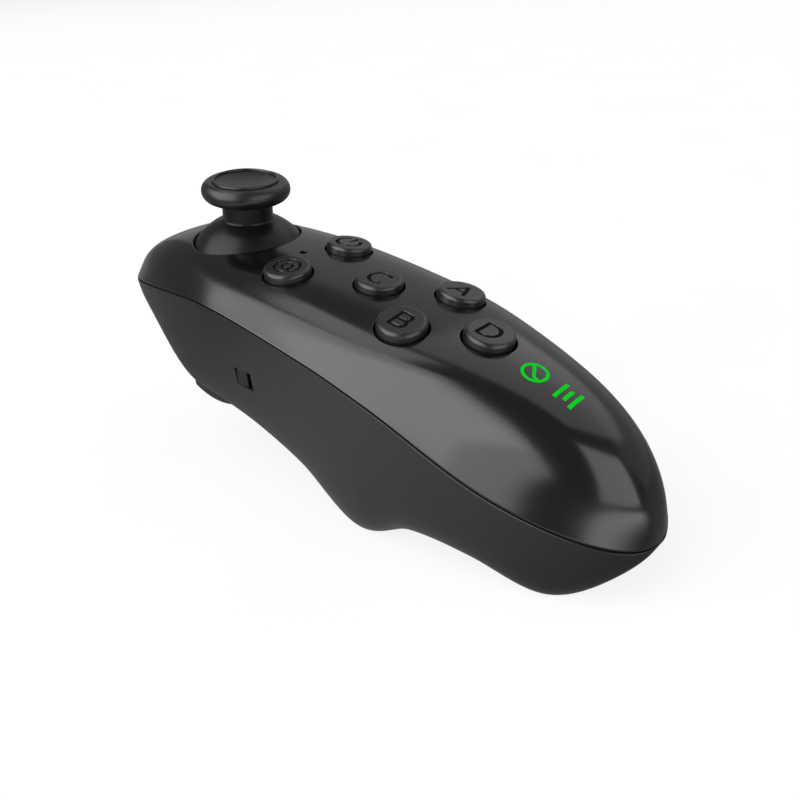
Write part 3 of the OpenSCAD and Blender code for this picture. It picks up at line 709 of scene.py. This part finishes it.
def ball_loop(radius):
    """uv of the loop where the ball round the stick's pivot meets the top surface."""
    a = np.arange(144) * 2 * np.pi / 144
    low, high = np.full(144, 2.0), np.full(144, radius)
    for _ in range(40):
        r = (low + high) / 2
        x, y = PIVOT[0] + r * np.cos(a), r * np.sin(a)
        far = r**2 + (top_height(x, y) - PIVOT[2]) ** 2 > radius**2
        low, high = np.where(far, low, r), np.where(far, r, high)
    return TOP.under(PIVOT[0] + r * np.cos(a), r * np.sin(a))


KEY_AT = {
    "power": (10, -8.7),
    "at": (10, 8.7),
    "c": (-6.5, 0),
    "a": (-19.8, -8.6),
    "b": (-19.8, 8.6),
    "d": (-32.8, 0),
}

top = Mesh()
u_lines = np.linspace(0, 1, 241)
v_lines = np.linspace(-1, 1, 89)
key_loops = [bored_loop(x, y, HOLE_R + EDGE) for x, y in KEY_AT.values()]
led_loop, led_down = bored_loop(LED_X, 0, LED_HOLE_R + LED_EDGE, 32)
dome_loop = ball_loop(DOME_HOLE_R + 0.3)
uv, tris = net(u_lines, v_lines, [loop for loop, _ in key_loops] + [led_loop, dome_loop])
top.add(*TOP.at(uv), tris.tolist())
for loop, down in key_loops:
    rim(top, *TOP.at(loop), down, HOLE_DEPTH, EDGE)
rim(top, *TOP.at(led_loop), led_down, LED_HOLE_DEPTH, LED_EDGE)
points, normals = TOP.at(dome_loop)
flare = unit(points - PIVOT) * [1, 1, 0] * 0.9
rim(top, points, normals, flare - [0, 0, 1], DOME_HOLE_DEPTH, DOME_EDGE)
lips(top, TOP, u_lines)
top.make("top_housing", GLOSS, "housing", "shell_gloss", ["top_shell"])

# ---- keys
FACE_R = BUTTON_R - 0.85
STROKE = 0.34
FINE_STROKE = 0.25
STROKE_DEPTH = 0.42
STROKE_EDGE = 0.07
FLANGE_R = 5.55
FLANGE_TOP = -3.3
FLANGE_FOOT = -4
STEM_R = 1.5
STEM_GAP = 2.4


def oval(x, y, rx, ry, turns):
    """Points of an oval about x, y at the turns, in radians."""
    return [(x + rx * math.cos(a), y + ry * math.sin(a)) for a in turns]


def arc(x, y, r, first, last, steps):
    """Points round x, y between two turns in degrees."""
    return oval(x, y, r, r, np.radians(np.linspace(first, last, steps)))


# Each key's mark as strokes about its middle: +x to the reader's right, +y up.
MARKS = {
    "power": [arc(0, -0.2, 2.5, 122, 418, 36), [(0, 0.2), (0, 2.75)]],
    "at": [
        arc(0, 0, 1.05, 0, 360, 24),
        [(1.05, 1.05), (1.05, -0.55)] + arc(1.8, -0.55, 0.75, 180, 350, 8) + arc(0, 0, 2.6, -8, 292, 36),
    ],
    "a": [[(-1.85, -2.1), (0, 2.2), (1.85, -2.1)], [(-1.2, -0.7), (1.2, -0.7)]],
    "b": [
        [(-1.45, -2.05), (-1.45, 2.05), (0.3, 2.05)] + arc(0.35, 1.05, 1.0, 90, -90, 12) + [(-1.45, 0.05)],
        [(0.3, 0.05)] + arc(0.5, -1.0, 1.05, 90, -90, 12) + [(-1.45, -2.05)],
    ],
    "c": [arc(0.2, 0, 2.2, 50, 310, 32)],
    "d": [[(-1.6, -2.15), (-1.6, 2.15), (-0.3, 2.15)] + arc(-0.3, 0, 2.15, 90, -90, 22) + [(-1.6, -2.15)]],
}


def gap_to(strokes, x, y):
    """Distance from each point to the nearest stroke."""
    p = np.stack([x.ravel(), y.ravel()], -1)
    best = np.full(len(p), np.inf)
    for line in strokes:
        line = np.array(line)
        for a, b in zip(line, line[1:]):
            d = b - a
            t = np.clip((p - a) @ d / max(d @ d, 1e-9), 0, 1)
            best = np.minimum(best, np.linalg.norm(p - a - t[:, None] * d, axis=1))
    return best.reshape(x.shape)


def marked_disc(mesh, radius, height, strokes, depth, half, move, count=97):
    """A round face with strokes sunk into it, as a square net bent to the circle."""
    a = np.linspace(-1, 1, count)
    p, q = np.meshgrid(a, a, indexing="ij")
    x, y = radius * p * np.sqrt(1 - q * q / 2), radius * q * np.sqrt(1 - p * p / 2)

    def level(x, y):
        t = np.clip((half + STROKE_EDGE - gap_to(strokes, x, y)) / (2 * STROKE_EDGE), 0, 1)
        return height - depth * t * t * (3 - 2 * t)

    e = 0.01
    nx = (level(x - e, y) - level(x + e, y)) / (2 * e)
    ny = (level(x, y - e) - level(x, y + e)) / (2 * e)
    normals = unit(np.stack([nx, ny, np.ones_like(x)], -1))
    sunk = gap_to(strokes, x, y) < half + STROKE_EDGE / 2
    cell = np.arange(count * count).reshape(count, count)
    corners = np.stack([cell[:-1, :-1], cell[1:, :-1], cell[1:, 1:], cell[:-1, 1:]], -1).reshape(-1, 4)
    # Faces in the strokes take the second material; on the keys that is painted shade.
    dark = sunk.ravel()[corners].sum(1) > 2
    points = np.stack([x, y, level(x, y)], -1).reshape(-1, 3)
    for part in (0, 1):
        mesh.add(points, normals.reshape(-1, 3), corners[dark == part].tolist(), move, part)


# The board's plane, where the keys' stems end.
BOARD_AT = np.array([-12.0, 0, 36])
BOARD_TILT = math.radians(9.3)
BOARD_UP = np.array([-math.sin(BOARD_TILT), 0, math.cos(BOARD_TILT)])
for key, (x, y) in KEY_AT.items():
    at = surface_frame(x, y)
    drop = (at[:3, 3] - BOARD_AT) @ BOARD_UP / (at[:3, 2] @ BOARD_UP)
    cap = Mesh()
    half = FINE_STROKE if key == "at" else STROKE
    marked_disc(cap, FACE_R, PROUD, MARKS[key], STROKE_DEPTH, half, at)
    profile = [(FACE_R, PROUD, 0), (BUTTON_R - 0.02, PROUD, 0.8), (BUTTON_R, FLANGE_TOP, 0.05)]
    profile += [(FLANGE_R, FLANGE_TOP, 0.1), (FLANGE_R, FLANGE_FOOT, 0.1), (STEM_R, FLANGE_FOOT, 0.1)]
    profile += [(STEM_R, STEM_GAP - drop, 0.2), (0, STEM_GAP - drop, 0)]
    cap.turned(rounded(profile, 8)[::-1], 160, at)
    cap.make(f"key_{key}", [KEYS, GROOVE_SHADE], f"{key}_key", "button_plastic", [f"{key}_button"])

# ---- thumbstick
stick = np.eye(4)
stick[:3, :3] = np.array(Matrix.Rotation(-LEAN, 3, "Y"))
stick[:3, 3] = PIVOT
CAP_R = 9.45
CAP_FOOT_Z = 17.5
BULGE = 2.1
BULGE_Z = 19.75
RING_R = 6.75
DISH_Z = 21.12
SOCKET_R = 3.45
SOCKET_Z = 20.5
SKIRT_R = 14.5
SKIRT_INNER_R = 13.3
SKIRT_FOOT_Z = 4.5
NECK_R = 5.4
NECK_FOOT_R = 5.85
POST_R = 3.4
POST_Z = 20.4

bulge = arc(CAP_R - BULGE, BULGE_Z, BULGE, -84, 76, 30)
ring = oval(RING_R, BULGE_Z + BULGE - 0.03, 0.35, 0.38, np.radians(np.linspace(-20, 196, 20)))
dish = [(t * (RING_R - 0.62), DISH_Z + 0.6 * t**2.2) for t in np.linspace(1, 0, 16)]
under = [(SOCKET_R, CAP_FOOT_Z, 0), (CAP_R - BULGE - 0.6, CAP_FOOT_Z, 0.1), (*bulge[0], 0)]
cap = Mesh()
cap.turned(rounded(under, 3) + bulge + ring + dish, 192, stick, 50)
cap.turned([(0, SOCKET_Z), (SOCKET_R, SOCKET_Z), (SOCKET_R, CAP_FOOT_Z)], 64, stick)
cap.make("stick_cap", CAP, "stick", "stick_rubber", ["thumbstick_cap"])

skirt = Mesh()
foot = math.asin(SKIRT_FOOT_Z / SKIRT_R)
inner_foot = foot * 1.1
neck_meet = math.asin(math.sqrt(SKIRT_R**2 - NECK_FOOT_R**2) / SKIRT_R)
ball = oval(0, 0, SKIRT_R, SKIRT_R, np.linspace(foot, neck_meet, 60))
fillet = [
    (NECK_FOOT_R - 0.45 * math.sin(a), ball[-1][1] + 0.02 + 0.6 * (1 - math.cos(a)))
    for a in np.linspace(0.1, math.pi / 2, 8)
]
neck = [(NECK_R, CAP_FOOT_Z), (POST_R, CAP_FOOT_Z), (POST_R, POST_Z), (0, POST_Z)]
brim = [(SKIRT_INNER_R * math.cos(inner_foot), SKIRT_FOOT_Z)]
skirt.turned(brim + ball + fillet + neck, 192, stick, 60)
lining = oval(0, 0, SKIRT_INNER_R, SKIRT_INNER_R, np.linspace(math.pi / 2, inner_foot, 40))
skirt.turned(lining, 96, stick)
skirt.make("stick_skirt", SKIRT, "stick", "stick_plastic", ["thumbstick_dome"])

# ---- bottom shell
FIT = 0.2
door_low, door_high = node_box("battery_door")


def under_loop(skin, plan):
    """uv of a plan loop on the skin."""
    return skin.under(plan[:, 0], plan[:, 1])


def around(x, y, radius):
    """A round plan loop."""
    turn = np.arange(48) * 2 * np.pi / 48
    return np.stack([x + radius * np.cos(turn), y + radius * np.sin(turn)], -1)


knob_low, knob_high = node_box("switch_knob")
KNOB_TRAVEL = 2.0
SCREW_HEAD_R = 2.2
PILOT_R = 1.25
SCREWS = [(0, -14, 30, 41.5), (0, 14, 30, 41.5), (-60.3, 0, 8.5, 22.9)]  # x, y, seat, tip
window = loop_rect(
    (knob_low[0] - KNOB_TRAVEL - FIT, knob_low[2] - FIT), (knob_high[0] + FIT, knob_high[2] + FIT), 0.25, 0.25
)
door_plan = loop_rect(door_low[:2] - FIT, door_high[:2] + FIT, 1.0)
LOWER_WINDOW = loop_rect((25.8, -16.0), (41.5, 16.0), 1.9)
UPPER_WINDOW = loop_rect((43.4, -12.0), (57.7, 12.0), 1.9)


def bottom_loops(skin):
    """uv of every opening: the slide's window, the bay, the two triggers and the screws."""
    return [
        skin.beside(window[:, 0], window[:, 1], np.ones(len(window))),
        under_loop(skin, door_plan),
        under_loop(skin, LOWER_WINDOW),
        under_loop(skin, UPPER_WINDOW),
    ] + [under_loop(skin, around(x, y, SCREW_HEAD_R + 0.4)) for x, y, *_ in SCREWS]


TRIGGER_HOLE_DEPTH = 2.4
bottom = Mesh()
outside = bottom_loops(BOTTOM)
uv, tris = net(u_lines, np.linspace(-1, 1, 121), outside)
bottom.add(*BOTTOM.at(uv), tris.tolist())
uv, tris = net(u_lines[6:-6:2], np.linspace(-1, 1, 61), bottom_loops(LINING))
points, normals = LINING.at(uv)
bottom.add(points, -normals, tris.tolist())
rim(bottom, *BOTTOM.at(outside[0]), (0, -1, 0), WALL, 0.15)
rim(bottom, *BOTTOM.at(outside[1]), (0, 0, 1), WALL, 0.2)
# The lower trigger's opening leans back along its tail edge.
back_slope = np.where(LOWER_WINDOW[:, :1] < 27, 0.45, 0) * [[-1, 0, 0]] + [0, 0, 1]
rim(bottom, *BOTTOM.at(outside[2]), back_slope, TRIGGER_HOLE_DEPTH, 0.3)
rim(bottom, *BOTTOM.at(outside[3]), (-0.6, 0, 0.8), TRIGGER_HOLE_DEPTH, 0.3)
for loop, (x, y, seat, _) in zip(outside[4:], SCREWS):
    points, normals = BOTTOM.at(loop)
    rim(bottom, points, normals, (0, 0, 1), 6.0, 0.2)
    bore_r = SCREW_HEAD_R + FIT
    place = np.eye(4)
    place[:2, 3] = x, y
    bottom.turned([(bore_r, points[:, 2].max() + 1.0), (bore_r, seat), (PILOT_R, seat)], 48, place)
lips(bottom, BOTTOM, u_lines)
# The battery bay's walls: behind the tail contact, before the nose contacts, and two sides.
bay_tail, bay_front = node_box("tail_contact")[0][0], node_box("left_contact")[1][0]
BAY_ROUND = 0.25
soft_box(bottom, (bay_tail - 1, -11, 1.6), (bay_tail, 11, 17), BAY_ROUND)
soft_box(bottom, (bay_front, -12.6, 4), (bay_front + 1, 12.6, 20), BAY_ROUND)
for y in (-12.8, 12.8):
    soft_box(bottom, (bay_tail - 0.5, y - 0.5, 4.6), (bay_front + 0.5, y + 0.5, 10), BAY_ROUND)
bottom.make("bottom_housing", SATIN, "housing", "shell_satin", ["bottom_shell"])

# ---- battery cover
DOOR_WALL = 1.55
GRIP_X = door_low[0] + 4.0
GRIP_PITCH = 1.9
GRIP_DEPTH = 0.35


def grip(points):
    """Depth of the thumb grooves near the tail end of the battery cover."""
    along = np.abs((points[..., 0] - GRIP_X + GRIP_PITCH / 2) % GRIP_PITCH - GRIP_PITCH / 2)
    groove = np.clip(1 - (along / 0.5) ** 2, 0, 1)
    span = (points[..., 0] > GRIP_X - 1) & (points[..., 0] < GRIP_X + 5.5 * GRIP_PITCH)
    fade = np.clip((5.5 - np.abs(points[..., 1])) / 0.8, 0, 1)
    return GRIP_DEPTH * groove * span * fade * fade * (3 - 2 * fade)


def carved(skin, uv, sink):
    """Points and normals of a skin that is pushed in by sink(points)."""

    def place(u, v):
        base = skin.point(u, v)
        return base - skin.normal(u, v) * sink(base)[..., None]

    u, v = uv[:, 0], uv[:, 1]
    e = 4e-4
    along = place(u + e, v) - place(u - e, v)
    over = place(u, v + e) - place(u, v - e)
    return place(u, v), unit(skin.side * np.cross(along, over))


cover = Mesh()
cover_plan = loop_rect(door_low[:2], door_high[:2], 0.8)
cover_loop = under_loop(DOOR, cover_plan)
u_door = np.linspace(cover_loop[:, 0].min(), cover_loop[:, 0].max(), 190)[1:-1]
uv, tris = net(u_door, np.linspace(-0.9, 0.9, 61), [cover_loop], keep_out=False)
cover.add(*carved(DOOR, uv, grip), tris.tolist())
points, normals = DOOR.at(cover_loop)
rim(cover, points, normals, (0, 0, 1), DOOR_WALL - 0.25, 0.25, outward=True)
uv, tris = net(u_door[::3], np.linspace(-0.9, 0.9, 31), [cover_loop], keep_out=False)
points, normals = DOOR.at(uv)
cover.add(points + [0, 0, DOOR_WALL], -normals, tris.tolist())
soft_box(cover, (door_low[0] + 0.8, -4, 1.2), (door_low[0] + 2.0, 4, door_high[2]), 0.3)
cover.make("battery_cover", SATIN, "door", "shell_satin", ["battery_door"])

# ---- triggers
def lever(name, body, node, arc_centre, arc_r, tail, nose, plate, boss, boss_r, half_w, move=None):
    """A trigger: a curved finger plate that turns on a boss at its nose end."""
    xs = np.linspace(tail[0], nose, 26)
    run = [(x, arc_centre[1] - math.sqrt(arc_r**2 - (x - arc_centre[0]) ** 2)) for x in xs]
    outline = rounded([(tail[0] - 2, plate, 0), (*run[0], 0.9), (*run[3], 0)], 5)[1:-1]
    outline += run[3:-3]
    outline += rounded([(*run[-4], 0), (*run[-1], 0.9), (nose, plate, 0)], 5)[1:]
    outline += arc(*boss, boss_r, -20, 180, 16)
    outline += [(boss[0] - boss_r, plate), (tail[1], plate)]
    piece = Mesh()
    thick_outline(piece, outline, half_w, 1.2, move)
    piece.make(name, LEVER, body, "button_plastic", [node])


lower = {"arc_centre": (32.5, 31), "arc_r": 18.2, "tail": (26.8, 25.1), "nose": 41, "plate": 17.6}
lower |= {"boss": (38.2, 21.5), "boss_r": 2.3, "half_w": 15.5}
lever("trigger_lower", "lower_lever", "lower_trigger", **lower)
# The upper trigger is drawn level and then leans along the housing's slope.
slope = np.eye(4)
slope[:3, :3] = np.array(Matrix.Rotation(-math.atan2(0.6, 0.8), 3, "Y"))
slope[:3, 3] = (39, 0, 15.5)
upper = {"arc_centre": (14.3, 23.5), "arc_r": 25, "tail": (6.6, 5.6), "nose": 22.7, "plate": 2.6}
upper |= {"boss": (20.3, 4.2), "boss_r": 2.2, "half_w": 11.5, "move": slope}
lever("trigger_upper", "upper_lever", "upper_trigger", **upper)

# ---- slide switch
RIDGES = 4
RIDGE_HALF = 0.3
FACE_SINK = 0.12
BLOCK_Y = 18.9
slide = Mesh()
(x0, _, z0), (x1, face_y, z1) = knob_low, knob_high
# The block in the window, near black as painted shade, the face on it and the face's ridges.
soft_box(slide, (x0 + 0.1, BLOCK_Y, z0), (x1, face_y - 0.5, z1), 0.1, part=1)
face_high = (x1 + FACE_SINK, face_y - FACE_SINK, z1 + FACE_SINK)
soft_box(slide, (x0, face_y - 0.7, z0 - FACE_SINK), face_high, 0.16)
pitch = (x1 - x0 - 0.5) / RIDGES
for i in range(RIDGES):
    x = x0 + 0.25 + (i + 0.5) * pitch
    soft_box(slide, (x - RIDGE_HALF, face_y - 0.9, z0 + 0.2), (x + RIDGE_HALF, face_y, z1 - 0.2), 0.13)
# The plate that hides the window's inside and the lug into the switch, both near black as painted shade.
soft_box(slide, (9.0, 18.7, z0 - 0.8), (16.4, 19.6, z1 + 0.8), 0.2, part=1)
soft_box(slide, (12.2, 16.0, 26.65), (13.7, BLOCK_Y, 28.15), 0.15, part=1)
slide.make("slide_knob", [SATIN, RECESS_SHADE], "slider", "button_plastic", ["switch_knob"])

# ---- small parts
PIPE_R = 0.7
pipe = Mesh()
pipe_foot, pipe_top = (corner[2] for corner in node_box("light_pipe"))
upright = np.eye(4)
upright[0, 3] = LED_X
dome = oval(0, pipe_top - 0.45, PIPE_R, 0.15, np.radians(np.linspace(0, 90, 10)))
pipe.turned([(0, pipe_foot), (0.6, pipe_foot), (PIPE_R, pipe_foot + 0.1)] + dome, 48, upright)
pipe.make("status_light_pipe", FINISH["lens"], "housing", "lens", ["light_pipe"])

HEAD_H = 1.8
CROSS = [[(-1.15, 0), (1.15, 0)], [(0, -1.15), (0, 1.15)]]
THREAD_PITCH = 0.7
screws = Mesh()
for x, y, seat, tip in SCREWS:
    head = np.diag([1.0, -1.0, -1.0, 1.0])
    head[:3, 3] = x, y, seat
    marked_disc(screws, 1.75, HEAD_H, CROSS, 0.9, 0.2, head, 61)
    side = [(1.75, HEAD_H, 0), (SCREW_HEAD_R, HEAD_H, 0.4), (SCREW_HEAD_R, 0.02, 0.1)]
    shank = rounded(side + [(1.0, 0.02, 0.1), (0.95, -0.6, 0)], 5)
    for k in range(int((tip - seat - 1.5) / THREAD_PITCH)):
        z = -THREAD_PITCH * k
        shank += [(0.85, z - 1.0), (1.1, z - 1.25), (0.85, z - 1.5)]
    screws.turned(shank + [(0.7, seat - tip + 0.5), (0, seat - tip)], 48, head, 40)
screws.make("closing_screws", STEEL, "housing", "steel", ["housing_screws"])

BASE_R = 3.9
COLLAR_R = 3.6
for side, end, facing in (("left", 0, 1), ("right", 1, -1)):
    low, high = box = node_box(f"{side}_cell")
    place = np.array(Matrix.Rotation(facing * math.pi / 2, 4, "Y"))
    place[:3, 3] = box[end][0], (low[1] + high[1]) / 2, (low[2] + high[2]) / 2
    radius, length = (high[1] - low[1]) / 2, high[0] - low[0]
    shoulder = length - 0.8
    wrap = [(BASE_R, 0.0, 0), (radius - 0.12, 0.0, 0.5), (radius, 1.4, 0.05)]
    wrap += [(radius, shoulder - 1.2, 0.1), (radius - 0.12, shoulder, 0.5), (COLLAR_R, shoulder, 0)]
    button = [(COLLAR_R, shoulder, 0), (2.6, shoulder - 0.25, 0.1), (1.95, shoulder - 0.25, 0.1)]
    button += [(1.9, length, 0.35), (0, length, 0)]
    cell = Mesh()
    cell.turned(rounded(wrap, 6), 96, place)
    cell.turned([(0, 0.25), (3.2, 0.25), (BASE_R, 0)], 64, place, part=1)
    cell.turned(rounded(button, 5), 64, place, part=1)
    finish = [FINISH["cell_jacket"], NICKEL]
    cell.make(f"{side}_battery", finish, "housing", "cell_jacket", [f"{side}_cell"])

# ---- printed marks
PRINT_AT = surface_frame(-47.0, 1.6)
PRINT_SCALE = 1.2
INK_LIFT = 0.02


def on_top(points):
    """Plane marks at the print's place, wrapped onto the housing: positions and normals."""
    across, up = PRINT_SCALE * points[:, :1], PRINT_SCALE * points[:, 1:]
    flat = PRINT_AT[:3, 3] + across * PRINT_AT[:3, 0] + up * PRINT_AT[:3, 1]
    return TOP.at(TOP.under(flat[:, 0], flat[:, 1]))


def stroke(mesh, line, half, closed=False):
    """A line of ink of width 2 * half, its edges falling onto the surface."""
    line = np.array(line, float)
    if closed:
        along = np.roll(line, -1, axis=0) - np.roll(line, 1, axis=0)
    else:
        along = np.gradient(line, axis=0)
    side = unit(np.stack([-along[:, 1], along[:, 0]], -1))
    rows, facing = [], []
    for i, j in ((-1, -1), (-1, 1), (1, 1), (1, -1)):
        p, n = on_top(line + side * half * i)
        rows.append(p + n * INK_LIFT * j)
        facing.append(n)
    mesh.sheet(np.array(rows), np.array(facing), closed)


# A ring with a wave in it, and three bars: stand-ins for the printing.
marks = Mesh()
stroke(marks, arc(-3.0, 0, 1.9, 0, 354, 60), 0.25, closed=True)
stroke(marks, [(x, 1.1 * math.sin(x * 1.6 + 1.9)) for x in np.linspace(-4.2, -1.8, 24)], 0.25)
for i, reach in enumerate((1.9, 1.3, 1.9)):
    stroke(marks, [(1.6 + 1.3 * i, y) for y in np.linspace(-reach, reach, 16)], 0.3)
marks.make("printed_marks", INK, "housing")

# ---- floor, light and camera
FLOOR_REACH = 40  # metres
WHITE_TO_CAMERA = 0.84
ROOM_STRENGTH = 0.185
SWEEP_STRENGTH = 1.0


def white_floor():
    """A floor that looks white to the camera; to the object it is grey, with glowing pools."""
    s = Shader("studio_floor", Specular_IOR_Level=0.0)
    s.ramp(s.noise(60, 3), grey(0.11), grey(0.13))
    s.spread(s.noise(8, 3), 0.7, 0.8)
    fill(s.main, Emission_Color=(1, 1, 1, 1))

    def pool(centre, stretch, reach, glow):
        """Glow that goes from glow[0] to glow[1] as the stretched distance crosses reach, in metres."""
        gap, fall = s.nodes.new("ShaderNodeVectorMath"), s.nodes.new("ShaderNodeMapRange")
        gap.operation = "DISTANCE"
        gap.inputs[1].default_value = (centre[0] * stretch[0], centre[1] * stretch[1], 0)
        s.links.new(s.stretched((*stretch, 1)), gap.inputs[0])
        fall.interpolation_type = "SMOOTHSTEP"
        fill(fall, From_Min=reach[0], From_Max=reach[1], To_Min=glow[0], To_Max=glow[1])
        s.links.new(gap.outputs["Value"], fall.inputs["Value"])
        return fall.outputs["Result"]

    beside = pool(centre=(-0.03, 0.12), stretch=(0.8, 1), reach=(0.05, 0.13), glow=(1.0, 0.1))
    past_tail = pool(centre=(-0.2, 0.045), stretch=(1, 1), reach=(0.06, 0.12), glow=(2.9, 0))
    both = s.nodes.new("ShaderNodeMath")
    both.operation = "ADD"
    s.links.new(beside, both.inputs[0])
    s.links.new(past_tail, both.inputs[1])
    path, to_camera = s.nodes.new("ShaderNodeLightPath"), s.nodes.new("ShaderNodeMix")
    s.links.new(path.outputs["Is Camera Ray"], to_camera.inputs["Factor"])
    s.links.new(both.outputs[0], to_camera.inputs["A"])
    to_camera.inputs["B"].default_value = WHITE_TO_CAMERA
    s.links.new(to_camera.outputs["Result"], s.main.inputs["Emission Strength"])
    mesh = bpy.data.meshes.new("floor")
    corners = [(x * FLOOR_REACH, y * FLOOR_REACH, 0) for x, y in ((-1, -1), (1, -1), (1, 1), (-1, 1))]
    mesh.from_pydata(corners, [], [(0, 1, 2, 3)])
    mesh.materials.append(s.material)
    new_object("floor", mesh)


def studio_world():
    """A dim room to light the object by, behind a white sweep for the camera to look at."""
    world = bpy.data.worlds.new("studio")
    world.use_nodes = True
    nodes, links = world.node_tree.nodes, world.node_tree.links
    room, sweep = nodes["Background"], nodes.new("ShaderNodeBackground")
    for node, strength in ((room, ROOM_STRENGTH), (sweep, SWEEP_STRENGTH)):
        fill(node, Color=(1, 1, 1, 1), Strength=strength)
    path, mix = nodes.new("ShaderNodeLightPath"), nodes.new("ShaderNodeMixShader")
    links.new(path.outputs["Is Camera Ray"], mix.inputs[0])
    links.new(room.outputs[0], mix.inputs[1])
    links.new(sweep.outputs[0], mix.inputs[2])
    links.new(mix.outputs[0], nodes["World Output"].inputs["Surface"])
    bpy.context.scene.world = world


white_floor()
studio_world()
bpy.context.scene.view_settings.view_transform = "Standard"

LIGHT_DISTANCE = 4
AIM = Vector((0, 0, 0.03))


def turn_to(item, right, up, back):
    """Points a light or a camera, whose -Z looks ahead."""
    item.rotation_mode = "QUATERNION"
    item.rotation_quaternion = Matrix((right, up, back)).transposed().to_quaternion()


def softbox(name, turn, rise, tilt, size, radiance):
    """A rectangular light that faces AIM: turn from +X towards +Y, rise and tilt in degrees, metres."""
    light = bpy.data.lights.new(name, "AREA")
    light.shape = "RECTANGLE"
    light.size, light.size_y = size
    light.energy = radiance * math.pi * size[0] * size[1]
    lamp = new_object(name, light)
    a, e, r = map(math.radians, (turn, rise, tilt))
    towards = Vector((math.cos(a) * math.cos(e), math.sin(a) * math.cos(e), math.sin(e)))
    flat = Vector((-math.sin(a), math.cos(a), 0))
    steep = towards.cross(flat)
    across = flat * math.cos(r) + steep * math.sin(r)
    lamp.location = towards * LIGHT_DISTANCE + AIM
    turn_to(lamp, across, towards.cross(across), towards)


softbox("side_light", 73, 34, -55, (7.4, 5.0), 2.8)
softbox("side_core", 73, 38, -54, (4.4, 3.8), 1.5)
softbox("far_light", -97, 51, 0, (3.8, 3.5), 0.85)
softbox("tail_light", 173, 3, -27, (4.2, 8.4), 2.15)
softbox("nose_light", -6, 67, 0, (1.5, 1.8), 1.8)
softbox("low_glow", -80, 12, 0, (12, 5), 0.27)

# The camera looks at VIEW_AT from VIEW_DISTANCE, turned from +Y towards -X, raised and rolled.
VIEW_TURN, VIEW_RISE, VIEW_ROLL = map(math.radians, (43.28, 28.01, -3.88))
VIEW_AT = Vector((-10.02, 0, 19.83))
VIEW_DISTANCE = 171.07
FOCAL_LENGTH, SENSOR_WIDTH = 37.38, 36
ahead = math.cos(VIEW_RISE)
back = Vector((-math.sin(VIEW_TURN) * ahead, math.cos(VIEW_TURN) * ahead, math.sin(VIEW_RISE)))
level = Vector((-math.cos(VIEW_TURN), -math.sin(VIEW_TURN), 0))
up = back.cross(level)
right = level * math.cos(VIEW_ROLL) + up * math.sin(VIEW_ROLL)
upward = up * math.cos(VIEW_ROLL) - level * math.sin(VIEW_ROLL)
lens = bpy.data.cameras.new("camera")
lens.lens, lens.sensor_width = FOCAL_LENGTH, SENSOR_WIDTH
lens.clip_start, lens.clip_end = 0.01, 200
camera = new_object("camera", lens)
camera.location = VIEW_AT * MM + back * VIEW_DISTANCE * MM
turn_to(camera, right, upward, back)
bpy.context.scene.camera = camera
